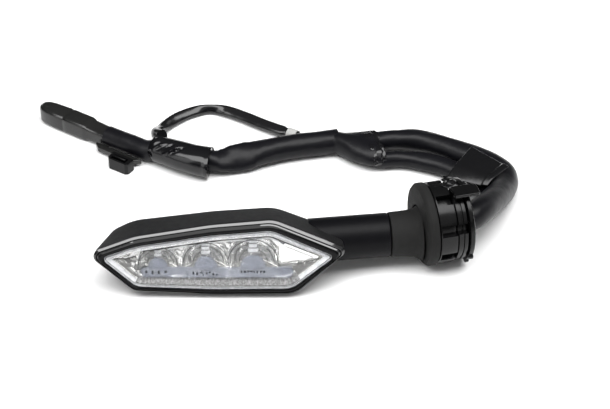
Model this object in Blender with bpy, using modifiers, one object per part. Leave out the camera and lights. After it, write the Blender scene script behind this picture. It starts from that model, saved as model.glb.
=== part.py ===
"""LED turn signal indicator for a motorcycle, with its wiring harness.

The lamp lies beside its harness: a six-cornered lamp head on a short stalk,
a rubber damper with its plastic holder, and a taped harness that ends in a
connector boot with an edge clip. All lengths below are millimetres.

Frame: +X runs along the mounting axis, away from the head. +Z is up, and Z = 0
is the surface that the lamp lies on. The origin is the bottom centre of the
lamp without its harness.
"""
import math

import bmesh
import bpy
from mathutils import Matrix, Vector

MM = 0.001
GAP = 0.3  # clearance between neighbouring pieces

# ---- where the mounting axis meets the back of the rubber flange -------------
MOUNT_X = 51.2
MOUNT_Y = -7.0
MOUNT_Z = 15.0

# ---- rubber damper and holder, along the mounting axis -----------------------
FLANGE_R = 15.0
FLANGE_THICK = 3.6
HUB_R = 10.8
HUB_STEP_R = 9.0
HUB_BORE_R = 7.4
HUB_END = 12.6
HOLDER_R = 14.7
HOLDER_START = GAP
HOLDER_END = 6.6
HOLDER_SLOTS = 8
CLIP_R = 14.3
CLIP_START = 6.9
CLIP_END = 10.5
CLIP_INNER_R = 11.2
END_RING_R = 14.9
END_RING_START = 10.8
END_RING_END = 12.9
GROMMET_START = 9.0
GROMMET_END = 14.2

# ---- stalk: its axis leaves the flange below the centre and sweeps back ------
STALK_DROP = Vector((0.0, -0.96, -2.95))
STALK_SWEEP = math.radians(7.2)
STALK_R = 7.9
STALK_BORE_R = 5.6
STALK_START = 14.6
STALK_END = 43.5
NECK_R = 8.2
NECK_BORE_R = 5.0
NECK_START = 5.7
PIVOT_AT = 9.9
CABLE_R = 2.2

# ---- lamp head: u along the lens, v up it, w out through it ------------------
HEAD_AT = 32.0  # along the stalk
HEAD_FORWARD = 16.0  # from the stalk's axis to the rim plane
HEAD_TURN = math.radians(14.0)
HEAD_TILT = math.radians(18.0)

# corners of the rim, each with its rounding radius
RIM_CORNERS = (
    (3.0, 1.8, 2.0),
    (-23.3, 13.3, 10.0),
    (-45.0, 11.4, 90.0),
    (-71.3, 6.9, 25.0),
    (-88.0, 0.3, 2.6),
    (-72.1, -14.2, 7.0),
    (-45.0, -15.5, 120.0),
    (-15.6, -15.2, 9.0),
)
# depth, inset, and how much of the lower half's height is left
HOUSING_SECTIONS = (
    (-2.6, 0.2, 1.0),
    (-17.0, 0.5, 0.815),
    (-21.0, 2.2, 0.72),
    (-24.0, 5.2, 0.60),
    (-25.4, 8.4, 0.50),
)
CAVITY_SECTIONS = (
    (-2.0, 2.4, 1.0),
    (-7.5, 2.45, 1.0),
    (-17.0, 2.7, 0.80),
    (-20.5, 4.3, 0.70),
    (-22.6, 7.0, 0.58),
    (-23.4, 9.0, 0.50),
)
SOCKET_R = 8.8
BEZEL_WIDTH = 2.4
BEZEL_DEPTH = 2.3
LENS_INSET = 2.75
LENS_WALL = 1.4
TRAY_INSET = 4.5
TRAY_FRONT = -4.4
TRAY_BACK = -6.2

# bowls of the reflector: centre u, centre v, mouth radius
BOWLS = ((-63.9, -3.3, 6.2), (-47.2, -2.6, 7.5), (-30.6, -1.9, 8.4))
BOWL_FLOOR = -14.6
BOWL_WALL = 1.0
LED_WINDOW_R = 1.9
BOARD_FRONT = -17.0
BOARD_THICK = 1.2
BOARD_LOW = Vector((-70.0, -8.2))
BOARD_HIGH = Vector((-20.0, 3.9))
BOARD_SCREWS = ((-68.0, -1.0), (-22.6, -1.0))
BOSS_R = 2.4
SCREW_R = 1.0

# ---- harness: hand-chosen routes of each centre line, from the flange centre --
TABLE = -MOUNT_Z
MAIN_R = 5.0
MAIN_ROUTE = (
    (17.9, 0.7, 0.0), (21.7, 4.1, -0.8), (25.8, 8.6, -2.6), (30.9, 14.8, -5.4),
    (36.0, 21.8, -8.2), (39.8, 28.4, -9.7), (40.6, 34.0, -9.9), (38.6, 39.2, -9.9),
    (35.2, 44.2, -9.9), (30.6, 49.4, -9.9), (25.8, 54.4, -9.9), (20.3, 59.4, -9.9),
    (13.8, 63.2, -9.9), (7.2, 64.9, -9.9), (2.6, 65.4, -9.9), (-1.1, 65.6, -9.9),
)
BRANCH_R = 3.75
BRANCH_ROUTE = (
    (32.0, 34.9, -11.2), (28.6, 37.0, -11.2), (24.5, 41.2, -11.2), (19.6, 46.4, -11.2),
    (13.2, 50.8, -11.2), (6.0, 53.8, -11.2), (2.0, 54.6, -11.2), (-1.0, 54.7, -11.2),
)
SLEEVE_R = 4.7
SLEEVE_ROUTE = (
    (-14.6, 69.9, -10.2), (-22.7, 70.2, -10.2), (-30.6, 70.6, -10.2),
    (-38.7, 70.3, -10.2), (-46.1, 69.6, -10.2), (-53.5, 68.6, -10.2),
    (-60.0, 68.2, -10.2), (-64.6, 69.0, -10.2),
)
WRAP_R = 5.6
WRAP_ROUTE = (
    (-67.6, 68.2, -9.3), (-72.4, 70.6, -9.3), (-78.6, 75.8, -9.3), (-84.6, 81.4, -9.3),
)
LOOP_R = 2.0
LOOP_ROUTE = (
    (-83.8, 86.0, -6.4), (-84.8, 90.0, -8.4), (-82.0, 94.6, -11.2), (-77.8, 99.9, -12.8),
    (-71.6, 104.3, -12.9), (-64.8, 107.0, -12.9), (-58.6, 107.3, -12.9),
    (-52.4, 104.3, -12.9), (-46.3, 98.5, -12.8), (-40.7, 92.1, -12.5),
    (-35.4, 86.4, -12.2), (-31.2, 82.4, -12.2), (-27.6, 78.6, -12.2),
)
WHITE_TAPE_FROM_END = 3.9
TAIL_R = 4.0
TAIL_ROUTE = ((-86.3, 80.9, -10.9), (-92.6, 87.4, -10.9), (-99.3, 94.3, -10.9))
JUNCTION_SECTIONS = (  # x, centre y, half width, half height
    (-14.2, 67.2, 6.0, 4.6),
    (-11.0, 64.6, 8.0, 4.8),
    (-6.0, 62.3, 9.7, 4.9),
    (-1.6, 61.6, 10.0, 4.9),
)
FLAG_CORNERS = ((28.4, 41.0), (30.8, 43.2), (40.1, 27.1), (29.2, 19.4), (16.2, 28.7))
FLAG_HEIGHT = -1.8
FLAG_THICK = 0.8

# ---- connector boot and edge clip, in a frame at the boot's open end ---------
PLUG_AT = Vector((-99.6, 94.6, TABLE))
PLUG_HEADING = math.atan2(24.6, -23.0)
BOOT_LENGTH = 36.0
BOOT_HALF_WIDTH = 4.1
BOOT_TIP_R = 2.9
BOOT_LOW = 0.1
BOOT_HIGH = 7.4
TERMINAL_R = 1.1
CLIP_BLOCK_LOW = Vector((-16.5, 7.8, 0.1))
CLIP_BLOCK_HIGH = Vector((-6.5, 12.6, 4.9))
TONGUE_Y = 10.4
TONGUE_FOOT = 1.6
TONGUE_HALF_LENGTH = 3.0
TONGUE_HALF_THICK = 0.45
TERMINAL_SIDE = 1.9
TERMINAL_HEIGHT = 3.8
TERMINAL_START = 2.0
TERMINAL_END = 26.0
BOOT_HOLE_R = 0.8
BOOT_HOLE_FROM_TIP = 3.6
CLIP_PLATE_LOW = Vector((-17.6, 4.5, 1.0))
CLIP_PLATE_HIGH = Vector((4.4, CLIP_BLOCK_LOW.y - GAP, 3.2))

# ---- details of the damper and its holder, in the mount's frame --------------
TUBE_WALL = 1.2
SLOT_START = 1.2
SLOT_DEPTH = 1.3
SLOT_HALF_WIDTH = 1.9
SLOT_PHASE = 0.467
CLIP_TAB_LOW = Vector((CLIP_START + 0.1, -7.6, 15.2))
CLIP_TAB_HIGH = Vector((16.2, -1.2, 16.4))
CLIP_POST_LOW = Vector((CLIP_START + 0.1, -5.0, 12.2))
CLIP_POST_HIGH = Vector((CLIP_END - 0.1, -1.6, 15.8))
TOOTH_ANGLES = (233.0, 208.0)
TOOTH_HALF_WIDTH = 1.4
TOOTH_HEIGHT = 1.0

# ---- details inside the lamp head, in the head's frame -----------------------
GUIDE_FOOT = -9.8
GUIDE_SHELF = -5.8
GUIDE_LEFT = -70.0
GUIDE_RIGHT = -18.6
GUIDE_END_R = 2.0
GUIDE_THICK = 1.8
GUIDE_DEPTH = -3.1
DOME_SHARE = 0.62
SEAL_THICK = 0.35
SEAL_DEPTH = -6.45
LED_HALF = 1.5
LED_HEIGHT = 0.8
SCREW_HEAD_R = 2.1
SCREW_HEAD_HEIGHT = 1.1
CHIP_LOW = Vector((-48.0, -4.6, 0.0))
CHIP_HIGH = Vector((-42.0, -0.6, 1.6))
RESISTOR_PLACES = (-58.0, -36.0)
RESISTOR_HALF_LENGTH = 1.6
RESISTOR_LOW_V = -3.4
RESISTOR_HIGH_V = -1.6
RESISTOR_HEIGHT = 0.9
WIRE_PLACES = (-2.2, 1.4)
WIRE_R = 0.6


def clear_scene():
    """Remove every object that is already in the file."""
    for obj in list(bpy.data.objects):
        bpy.data.objects.remove(obj)


def new_collection(name):
    collection = bpy.data.collections.new(name)
    bpy.context.scene.collection.children.link(collection)
    return collection


clear_scene()
PARTS = new_collection("turn_signal_indicator")
CUTTERS = new_collection("cutters")


def material(name, colour, roughness, metallic=0.0):
    """A Principled material with one colour."""
    made = bpy.data.materials.new(name)
    made.use_nodes = True
    shader = made.node_tree.nodes["Principled BSDF"]
    shader.inputs["Base Color"].default_value = (*colour, 1.0)
    shader.inputs["Roughness"].default_value = roughness
    shader.inputs["Metallic"].default_value = metallic
    return made


HOUSING_BLACK = material("housing_black", (0.020, 0.020, 0.021), 0.55)
GLOSS_BLACK = material("gloss_black", (0.008, 0.008, 0.009), 0.12)
STALK_BLACK = material("stalk_black", (0.012, 0.012, 0.014), 0.42)
RUBBER_BLACK = material("rubber_black", (0.022, 0.022, 0.022), 0.80)
HOLDER_BLACK = material("holder_black", (0.010, 0.010, 0.010), 0.30)
CLEAR_LENS = material("clear_lens", (0.95, 0.96, 0.97), 0.05)
CHROME = material("chrome", (0.85, 0.85, 0.86), 0.12, 1.0)
LIGHT_CLEAR = material("light_guide", (0.70, 0.76, 0.84), 0.25)
BOARD_GREEN = material("board", (0.05, 0.20, 0.10), 0.45)
LED_AMBER = material("led", (0.95, 0.75, 0.25), 0.35)
CHIP_BLACK = material("chip", (0.02, 0.02, 0.02), 0.5)
STEEL = material("steel", (0.60, 0.60, 0.62), 0.35, 1.0)
BRASS = material("brass", (0.78, 0.58, 0.25), 0.30, 1.0)
WIRE_COPPER = material("wire", (0.03, 0.03, 0.03), 0.4)
SLEEVE_BLACK = material("sleeve_black", (0.014, 0.014, 0.015), 0.40)
TAPE_BLACK = material("tape_black", (0.008, 0.008, 0.009), 0.18)
TAPE_WHITE = material("tape_white", (0.85, 0.85, 0.84), 0.5)
SEAL_GREY = material("seal", (0.25, 0.25, 0.25), 0.6)


def frame_empty(name, matrix, parent=None):
    """An empty with the given world matrix, in millimetres, under a parent."""
    empty = bpy.data.objects.new(name, None)
    empty.empty_display_size = 0.01
    PARTS.objects.link(empty)
    scaled = matrix.copy()
    scaled.translation = matrix.translation * MM
    if parent is not None:
        bpy.context.view_layer.update()
        empty.parent = parent
        empty.matrix_parent_inverse = parent.matrix_world.inverted()
    empty.matrix_basis = scaled
    bpy.context.view_layer.update()
    return empty


def axes_matrix(x_axis, y_axis, z_axis, origin):
    matrix = Matrix((x_axis, y_axis, z_axis)).transposed().to_4x4()
    matrix.translation = origin
    return matrix


def place(obj, parent, at=(0.0, 0.0, 0.0), turn=None):
    """Put an object under a frame, at a place in millimetres."""
    obj.parent = parent
    obj.location = Vector(at) * MM
    if turn is not None:
        obj.rotation_mode = "QUATERNION"
        obj.rotation_quaternion = turn
    return obj


def new_object(name, data, mat):
    obj = bpy.data.objects.new(name, data)
    if mat is None:
        CUTTERS.objects.link(obj)
        obj.hide_render = True
        obj.display_type = "WIRE"
    else:
        PARTS.objects.link(obj)
        data.materials.append(mat)
    return obj


def turned(name, profile, mat, closed=False, steps=32):
    """A turned shape about local Z from (radius, height) points, top to bottom."""
    mesh = bpy.data.meshes.new(name)
    points = [(radius * MM, 0.0, height * MM) for radius, height in profile]
    edges = [(i, i + 1) for i in range(len(points) - 1)]
    if closed:
        edges.append((len(points) - 1, 0))
    mesh.from_pydata(points, edges, [])
    obj = new_object(name, mesh, mat)
    screw = obj.modifiers.new("turn", "SCREW")
    screw.steps = steps
    screw.render_steps = steps
    screw.use_merge_vertices = True
    screw.merge_threshold = 0.00001
    return obj


def tube(name, points, radius, mat, sides=2):
    """A cord or wire along points in millimetres, with closed ends."""
    curve = bpy.data.curves.new(name, "CURVE")
    curve.dimensions = "3D"
    curve.bevel_depth = radius * MM
    curve.bevel_resolution = sides
    curve.use_fill_caps = True
    spline = curve.splines.new("POLY")
    spline.points.add(len(points) - 1)
    for target, point in zip(spline.points, points):
        target.co = (*(Vector(point) * MM), 1.0)
    return new_object(name, curve, mat)


def smooth_route(route, spacing):
    """Evenly spaced points on a smooth curve through a route's own points."""
    points = [Vector(point) for point in route]
    first = points[0] * 2.0 - points[1]
    last = points[-1] * 2.0 - points[-2]
    padded = [first, *points, last]
    fine = []
    for a, b, c, d in zip(padded, padded[1:], padded[2:], padded[3:]):
        for step in range(12):
            t = step / 12.0
            bend = (2.0 * a - 5.0 * b + 4.0 * c - d) * t * t
            twist = (3.0 * b - a - 3.0 * c + d) * t * t * t
            fine.append((2.0 * b + (c - a) * t + bend + twist) * 0.5)
    fine.append(points[-1])
    lengths = [0.0]
    for a, b in zip(fine, fine[1:]):
        lengths.append(lengths[-1] + (b - a).length)
    count = max(2, round(lengths[-1] / spacing))
    evened = []
    index = 0
    for step in range(count + 1):
        wanted = lengths[-1] * step / count
        while index < len(fine) - 2 and lengths[index + 1] < wanted:
            index += 1
        share = (wanted - lengths[index]) / (lengths[index + 1] - lengths[index])
        evened.append(fine[index].lerp(fine[index + 1], share))
    return evened


def slab(name, outlines, thick, mat):
    """A flat plate from closed outlines in XY, centred on its own Z = 0."""
    curve = bpy.data.curves.new(name, "CURVE")
    curve.dimensions = "2D"
    curve.fill_mode = "BOTH"
    curve.extrude = thick * 0.5 * MM
    for outline in outlines:
        spline = curve.splines.new("POLY")
        spline.points.add(len(outline) - 1)
        for target, point in zip(spline.points, outline):
            target.co = (point[0] * MM, point[1] * MM, 0.0, 1.0)
        spline.use_cyclic_u = True
    return new_object(name, curve, mat)


def box(name, low, high, mat):
    """A box between two corners of its frame."""
    bm = bmesh.new()
    size = Vector(high) - Vector(low)
    bmesh.ops.create_cube(bm, size=MM)
    bmesh.ops.scale(bm, vec=size, verts=bm.verts)
    bmesh.ops.translate(bm, vec=(Vector(high) + Vector(low)) * 0.5 * MM, verts=bm.verts)
    mesh = bpy.data.meshes.new(name)
    bm.to_mesh(mesh)
    bm.free()
    return new_object(name, mesh, mat)


def loft(name, rings, mat, cap_start=True, cap_end=True):
    """Rings of equal point count, joined by faces; the ends may be capped."""
    bm = bmesh.new()
    rows = [[bm.verts.new(Vector(point) * MM) for point in ring] for ring in rings]
    count = len(rows[0])
    for lower, upper in zip(rows, rows[1:]):
        for i in range(count):
            j = (i + 1) % count
            bm.faces.new((lower[i], lower[j], upper[j], upper[i]))
    if cap_start:
        bm.faces.new(list(reversed(rows[0])))
    if cap_end:
        bm.faces.new(rows[-1])
    bmesh.ops.recalc_face_normals(bm, faces=bm.faces)
    mesh = bpy.data.meshes.new(name)
    bm.to_mesh(mesh)
    bm.free()
    return new_object(name, mesh, mat)


def as_mesh(obj):
    """Turn a curve object into a mesh object that can be cut."""
    bpy.context.view_layer.update()
    evaluated = obj.evaluated_get(bpy.context.evaluated_depsgraph_get())
    mesh = bpy.data.meshes.new_from_object(evaluated)
    bm = bmesh.new()
    bm.from_mesh(mesh)
    bmesh.ops.remove_doubles(bm, verts=bm.verts, dist=0.000001)
    bm.to_mesh(mesh)
    bm.free()
    name = obj.name
    parent = obj.parent
    basis = obj.matrix_basis.copy()
    is_cutter = obj.hide_render
    mat = None if is_cutter else obj.data.materials[0]
    bpy.data.objects.remove(obj)
    mesh.materials.clear()
    made = new_object(name, mesh, mat)
    made.parent = parent
    made.matrix_basis = basis
    return made


def join(obj, other, operation):
    modifier = obj.modifiers.new(other.name, "BOOLEAN")
    modifier.operation = operation
    modifier.object = other
    return obj


def rounded_outline(corners, inset=0.0, segments=4):
    """Corner points moved inwards by inset, each rounded by its own radius."""
    count = len(corners)
    points = [Vector(corner[:2]) for corner in corners]
    normals = []
    for i in range(count):
        along = (points[(i + 1) % count] - points[i]).normalized()
        normals.append(Vector((-along.y, along.x)))
    outline = []
    for i in range(count):
        before = normals[i - 1]
        after = normals[i]
        bisector = (before + after).normalized()
        corner = points[i] + bisector * (inset / bisector.dot(after))
        radius = max(corners[i][2] - inset, 0.4)
        centre = corner + bisector * (radius / bisector.dot(after))
        start = math.atan2(-before.y, -before.x)
        turn = before.angle_signed(after)
        for step in range(segments + 1):
            angle = start - turn * step / segments
            outline.append(centre + Vector((math.cos(angle), math.sin(angle))) * radius)
    return outline


def head_ring(depth, inset, lower=1.0):
    """One section of the lamp head, with its lower half drawn up."""
    ring = []
    for point in rounded_outline(RIM_CORNERS, inset):
        height = point.y * lower if point.y < 0.0 else point.y
        ring.append((point.x, height, depth))
    return ring


def rotate_z_to(direction):
    return Vector((0.0, 0.0, 1.0)).rotation_difference(Vector(direction))


# ---- frames ------------------------------------------------------------------
MOUNT_ORIGIN = Vector((MOUNT_X, MOUNT_Y, MOUNT_Z))
STALK_DIRECTION = Vector((-math.cos(STALK_SWEEP), math.sin(STALK_SWEEP), 0.0))
STALK_ORIGIN = MOUNT_ORIGIN + STALK_DROP
PIVOT = STALK_ORIGIN + STALK_DIRECTION * PIVOT_AT
ALONG_X = rotate_z_to((1.0, 0.0, 0.0))

lens_u = Vector((math.cos(HEAD_TURN), -math.sin(HEAD_TURN), 0.0))
lens_level = Vector((-math.sin(HEAD_TURN), -math.cos(HEAD_TURN), 0.0))
lens_w = lens_level * math.cos(HEAD_TILT) + Vector((0.0, 0.0, math.sin(HEAD_TILT)))
lens_v = Vector((0.0, 0.0, math.cos(HEAD_TILT))) - lens_level * math.sin(HEAD_TILT)
HEAD_ORIGIN = STALK_ORIGIN + STALK_DIRECTION * HEAD_AT + lens_w * HEAD_FORWARD

mount_frame = frame_empty("mount_frame", Matrix.Translation(MOUNT_ORIGIN))
neck_pivot = frame_empty("neck_pivot", Matrix.Translation(PIVOT), mount_frame)
arm_pivot = frame_empty("arm_pivot", Matrix.Translation(PIVOT), neck_pivot)
stalk_turn = rotate_z_to(STALK_DIRECTION).to_matrix().to_4x4()
stalk_matrix = Matrix.Translation(STALK_ORIGIN) @ stalk_turn
neck_frame = frame_empty("neck_frame", stalk_matrix, neck_pivot)
stalk_frame = frame_empty("stalk_frame", stalk_matrix, arm_pivot)
head_matrix = axes_matrix(lens_u, lens_v, lens_w, HEAD_ORIGIN)
head_frame = frame_empty("head_frame", head_matrix, arm_pivot)


# ---- rubber damper, holder and clip ------------------------------------------
def build_damper_flange():
    """Front flange, fillet and hub of the rubber damper, moulded in one."""
    profile = (
        (HUB_STEP_R, HUB_END), (HUB_STEP_R, END_RING_START), (HUB_R, END_RING_START),
        (HUB_R, 0.0), (FLANGE_R - 0.4, 0.0), (FLANGE_R, -0.5), (FLANGE_R, -2.4),
        (FLANGE_R - 1.0, -FLANGE_THICK + 0.3), (FLANGE_R - 3.0, -FLANGE_THICK),
        (HUB_BORE_R, -FLANGE_THICK - 0.4), (HUB_BORE_R, HUB_END),
    )
    return place(turned("damper_flange", profile[:-1], RUBBER_BLACK, True),
                 mount_frame, turn=ALONG_X)


def build_mount_core():
    """Steel tube bonded inside the rubber hub."""
    outer = HUB_BORE_R - GAP
    inner = outer - TUBE_WALL
    top = GROMMET_START - GAP
    profile = ((outer, top), (outer, -3.0), (inner, -3.0), (inner, top))
    return place(turned("mount_core", profile, STEEL, True), mount_frame, turn=ALONG_X)


def build_holder_ring():
    """Holder with a ring of blocks, cut from a plain ring by radial slots."""
    profile = (
        (HOLDER_R, HOLDER_END), (HOLDER_R, HOLDER_START),
        (CLIP_INNER_R, HOLDER_START), (CLIP_INNER_R, HOLDER_END),
    )
    ring = place(turned("holder_ring", profile, HOLDER_BLACK, True, 40),
                 mount_frame, turn=ALONG_X)
    for index in range(HOLDER_SLOTS):
        angle = math.tau * (index + SLOT_PHASE) / HOLDER_SLOTS
        low = (SLOT_START, HOLDER_R - SLOT_DEPTH, -SLOT_HALF_WIDTH)
        high = (HOLDER_END + 1.0, HOLDER_R + 1.0, SLOT_HALF_WIDTH)
        slot = box(f"holder_slot_{index + 1}", low, high, None)
        slot.parent = mount_frame
        slot.rotation_euler = (angle, 0.0, 0.0)
        join(ring, slot, "DIFFERENCE")
    return ring


def build_retaining_clip():
    """U-shaped clip, open at the back, with a finger tab on top."""
    profile = (
        (CLIP_R, CLIP_END), (CLIP_R, CLIP_START),
        (CLIP_INNER_R, CLIP_START), (CLIP_INNER_R, CLIP_END),
    )
    clip = place(turned("retaining_clip", profile, HOLDER_BLACK, True, 40),
                 mount_frame, turn=ALONG_X)
    tab = place(box("clip_tab", CLIP_TAB_LOW, CLIP_TAB_HIGH, None), mount_frame)
    post = place(box("clip_tab_post", CLIP_POST_LOW, CLIP_POST_HIGH, None), mount_frame)
    mouth_low = (CLIP_START - 1.0, 0.0, -CLIP_INNER_R)
    mouth_high = (CLIP_END + 1.0, CLIP_R + 2.0, CLIP_INNER_R)
    mouth = place(box("clip_mouth", mouth_low, mouth_high, None), mount_frame)
    join(clip, mouth, "DIFFERENCE")
    join(clip, post, "UNION")
    return join(clip, tab, "UNION")


def build_end_ring():
    """Lock ring with its two small teeth."""
    profile = (
        (END_RING_R, END_RING_END), (END_RING_R, END_RING_START + GAP),
        (HUB_STEP_R + GAP, END_RING_START + GAP), (HUB_STEP_R + GAP, END_RING_END),
    )
    ring = place(turned("end_ring", profile, HOLDER_BLACK, True, 40),
                 mount_frame, turn=ALONG_X)
    for index, angle in enumerate(TOOTH_ANGLES):
        low = (END_RING_START + 0.5, END_RING_R - 0.8, -TOOTH_HALF_WIDTH)
        high = (END_RING_END - 0.2, END_RING_R + TOOTH_HEIGHT, TOOTH_HALF_WIDTH)
        tooth = box(f"end_tooth_{index + 1}", low, high, None)
        tooth.parent = mount_frame
        tooth.rotation_euler = (math.radians(angle), 0.0, 0.0)
        join(ring, tooth, "UNION")
    return ring


def build_grommet():
    """Tapered strain relief round the cable where it leaves the hub."""
    profile = (
        (6.2, GROMMET_END), (6.8, END_RING_END + 0.6), (HUB_BORE_R - GAP, END_RING_END),
        (HUB_BORE_R - GAP, GROMMET_START), (CABLE_R + GAP, GROMMET_START),
        (CABLE_R + GAP, GROMMET_END),
    )
    return place(turned("cable_grommet", profile, RUBBER_BLACK, True),
                 mount_frame, turn=ALONG_X)


def build_mount_cable():
    """Jacketed cable through the hub, from the damper's neck to the grommet."""
    route = ((-7.6, -0.2, -2.9), (-3.0, -0.3, -2.1), (3.0, 0.0, -0.7), (8.0, 0.0, 0.0),
             (GROMMET_END - 0.1, 0.0, 0.0))
    points = smooth_route(route, 4.0)
    return place(tube("mount_cable", points, CABLE_R, WIRE_COPPER), mount_frame)


# ---- damper neck and stalk ---------------------------------------------------
def build_neck():
    """Flexing rubber sleeve between the flange and the stalk."""
    end = STALK_START - GAP
    profile = (
        (NECK_R - 0.2, end), (NECK_R, NECK_START + 3.0), (NECK_R + 0.5, NECK_START + 1.0),
        (NECK_R + 1.5, NECK_START), (NECK_BORE_R, NECK_START), (NECK_BORE_R, end),
    )
    return place(turned("damper_neck", profile, RUBBER_BLACK, True), neck_frame)


def build_stalk():
    outer = STALK_R
    profile = (
        (outer - 0.5, STALK_END), (outer, STALK_END - 0.5), (outer, STALK_START + 0.3),
        (outer - 0.3, STALK_START), (STALK_BORE_R, STALK_START), (STALK_BORE_R, STALK_END),
    )
    return place(turned("stalk_tube", profile, STALK_BLACK, True), stalk_frame)


def build_stalk_insert():
    """Steel tube that stiffens the stalk."""
    outer = STALK_BORE_R - GAP
    inner = outer - TUBE_WALL
    start = STALK_START + 0.4
    end = STALK_END - 8.0
    profile = ((outer, end), (outer, start), (inner, start), (inner, end))
    return place(turned("stalk_insert", profile, STEEL, True), stalk_frame)


def build_stalk_cable():
    points = ((0.0, 0.0, PIVOT_AT + 0.7), (0.0, 0.0, 24.0), (0.0, 0.0, STALK_END - 2.0))
    return place(tube("stalk_cable", points, CABLE_R, WIRE_COPPER), stalk_frame)


# ---- lamp head ---------------------------------------------------------------
def build_housing():
    """Deep shell with a socket for the stalk and two screw bosses inside."""
    housing = loft("rear_housing", [head_ring(*s) for s in HOUSING_SECTIONS], HOUSING_BLACK)
    place(housing, head_frame)
    cavity = loft("housing_cavity", [head_ring(*s) for s in CAVITY_SECTIONS], None)
    place(cavity, head_frame)
    socket_profile = (
        (0.0, STALK_END - 5.5), (SOCKET_R, STALK_END - 5.5),
        (SOCKET_R, HEAD_AT - 8.0), (0.0, HEAD_AT - 8.0),
    )
    socket = place(turned("stalk_socket", socket_profile, None), stalk_frame)
    join(cavity, socket, "DIFFERENCE")
    join(housing, cavity, "DIFFERENCE")
    bore_r = STALK_R + GAP
    bore_profile = (
        (0.0, STALK_END + GAP), (bore_r, STALK_END + GAP),
        (bore_r, HEAD_AT - 8.0), (0.0, HEAD_AT - 8.0),
    )
    bore = place(turned("stalk_bore", bore_profile, None), stalk_frame)
    join(housing, bore, "DIFFERENCE")
    floor = CAVITY_SECTIONS[-1][0] - 0.6
    top = BOARD_FRONT - BOARD_THICK - GAP
    for index, (u, v) in enumerate(BOARD_SCREWS):
        profile = ((0.0, top), (BOSS_R, top), (BOSS_R, floor), (0.0, floor))
        boss = place(turned(f"boss_{index + 1}", profile, None, steps=16), head_frame, (u, v, 0))
        join(housing, boss, "UNION")
        pilot_r = SCREW_R + GAP
        profile = ((0.0, top + 1.0), (pilot_r, top + 1.0),
                   (pilot_r, floor + 1.2), (0.0, floor + 1.2))
        pilot = place(turned(f"pilot_{index + 1}", profile, None, steps=12),
                      head_frame, (u, v, 0))
        join(housing, pilot, "DIFFERENCE")
    return housing


def build_bezel():
    outlines = [rounded_outline(RIM_CORNERS), rounded_outline(RIM_CORNERS, BEZEL_WIDTH)]
    bezel = slab("bezel", outlines, BEZEL_DEPTH, GLOSS_BLACK)
    return place(bezel, head_frame, (0.0, 0.0, -BEZEL_DEPTH * 0.5))


def build_lens():
    """Clear cover: a shallow cup whose skirt plugs into the housing."""
    rings = [
        head_ring(-6.0, LENS_INSET),
        head_ring(-1.0, LENS_INSET),
        head_ring(-0.4, LENS_INSET + 0.6),
    ]
    lens = place(loft("outer_lens", rings, CLEAR_LENS, cap_start=False), head_frame)
    shell = lens.modifiers.new("wall", "SOLIDIFY")
    shell.thickness = LENS_WALL * MM
    shell.offset = -1.0
    shell.use_even_offset = True
    return lens


def build_lens_seal():
    """Bead of sealant behind the lens skirt."""
    outlines = [rounded_outline(RIM_CORNERS, LENS_INSET + 0.1),
                rounded_outline(RIM_CORNERS, LENS_INSET + 1.3)]
    seal = slab("lens_seal", outlines, SEAL_THICK, SEAL_GREY)
    return place(seal, head_frame, (0.0, 0.0, SEAL_DEPTH))


def bowl_profile(radius, wall, top):
    """Parabola from the mouth down to the floor, closed on the axis."""
    depth = TRAY_FRONT - BOWL_FLOOR
    outer = radius + wall
    points = [(0.0, top), (outer, top)]
    for step in range(1, 7):
        share = 1.0 - step / 7.0
        points.append((outer * share, TRAY_FRONT - wall - depth * (1.0 - share * share)))
    points.append((0.0, BOWL_FLOOR - wall))
    return points


def build_reflector():
    """Tray with three bowls, each open at its floor for its LED."""
    tray = slab("reflector", [rounded_outline(RIM_CORNERS, TRAY_INSET)],
                TRAY_FRONT - TRAY_BACK, CHROME)
    place(tray, head_frame, (0.0, 0.0, (TRAY_FRONT + TRAY_BACK) * 0.5))
    tray = as_mesh(tray)
    for index, (u, v, radius) in enumerate(BOWLS):
        cup = turned(f"bowl_{index + 1}_out",
                     bowl_profile(radius, BOWL_WALL, TRAY_BACK + 0.5), None, steps=20)
        join(tray, place(cup, head_frame, (u, v, 0.0)), "UNION")
    for index, (u, v, radius) in enumerate(BOWLS):
        hollow = turned(f"bowl_{index + 1}_in",
                        bowl_profile(radius, 0.0, TRAY_FRONT + 1.0), None, steps=20)
        join(tray, place(hollow, head_frame, (u, v, 0.0)), "DIFFERENCE")
        window_profile = ((0.0, BOWL_FLOOR + 3.0), (LED_WINDOW_R, BOWL_FLOOR + 3.0),
                          (LED_WINDOW_R, BOWL_FLOOR - 3.0), (0.0, BOWL_FLOOR - 3.0))
        window = turned(f"window_{index + 1}", window_profile, None, steps=16)
        join(tray, place(window, head_frame, (u, v, 0.0)), "DIFFERENCE")
    return tray


def build_light_guide():
    """Clear strip in front of the bowls, with a half dome before each."""
    outline = [(GUIDE_LEFT, GUIDE_SHELF), (GUIDE_LEFT + 0.6, GUIDE_FOOT + 1.2),
               (GUIDE_LEFT + 2.0, GUIDE_FOOT), (GUIDE_RIGHT, GUIDE_FOOT)]
    for step in range(1, 6):
        angle = -0.5 * math.pi + math.pi * step / 6.0
        outline.append((GUIDE_RIGHT + GUIDE_END_R * math.cos(angle),
                        (GUIDE_FOOT + GUIDE_SHELF) * 0.5 + GUIDE_END_R * math.sin(angle)))
    outline.append((GUIDE_RIGHT, GUIDE_SHELF))
    for u, _v, radius in reversed(BOWLS):
        dome = radius * DOME_SHARE
        for step in range(9):
            angle = math.pi * step / 8.0
            outline.append((u + dome * math.cos(angle), GUIDE_SHELF + dome * math.sin(angle)))
    guide = slab("light_guide", [outline], GUIDE_THICK, LIGHT_CLEAR)
    return place(guide, head_frame, (0.0, 0.0, GUIDE_DEPTH))


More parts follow.
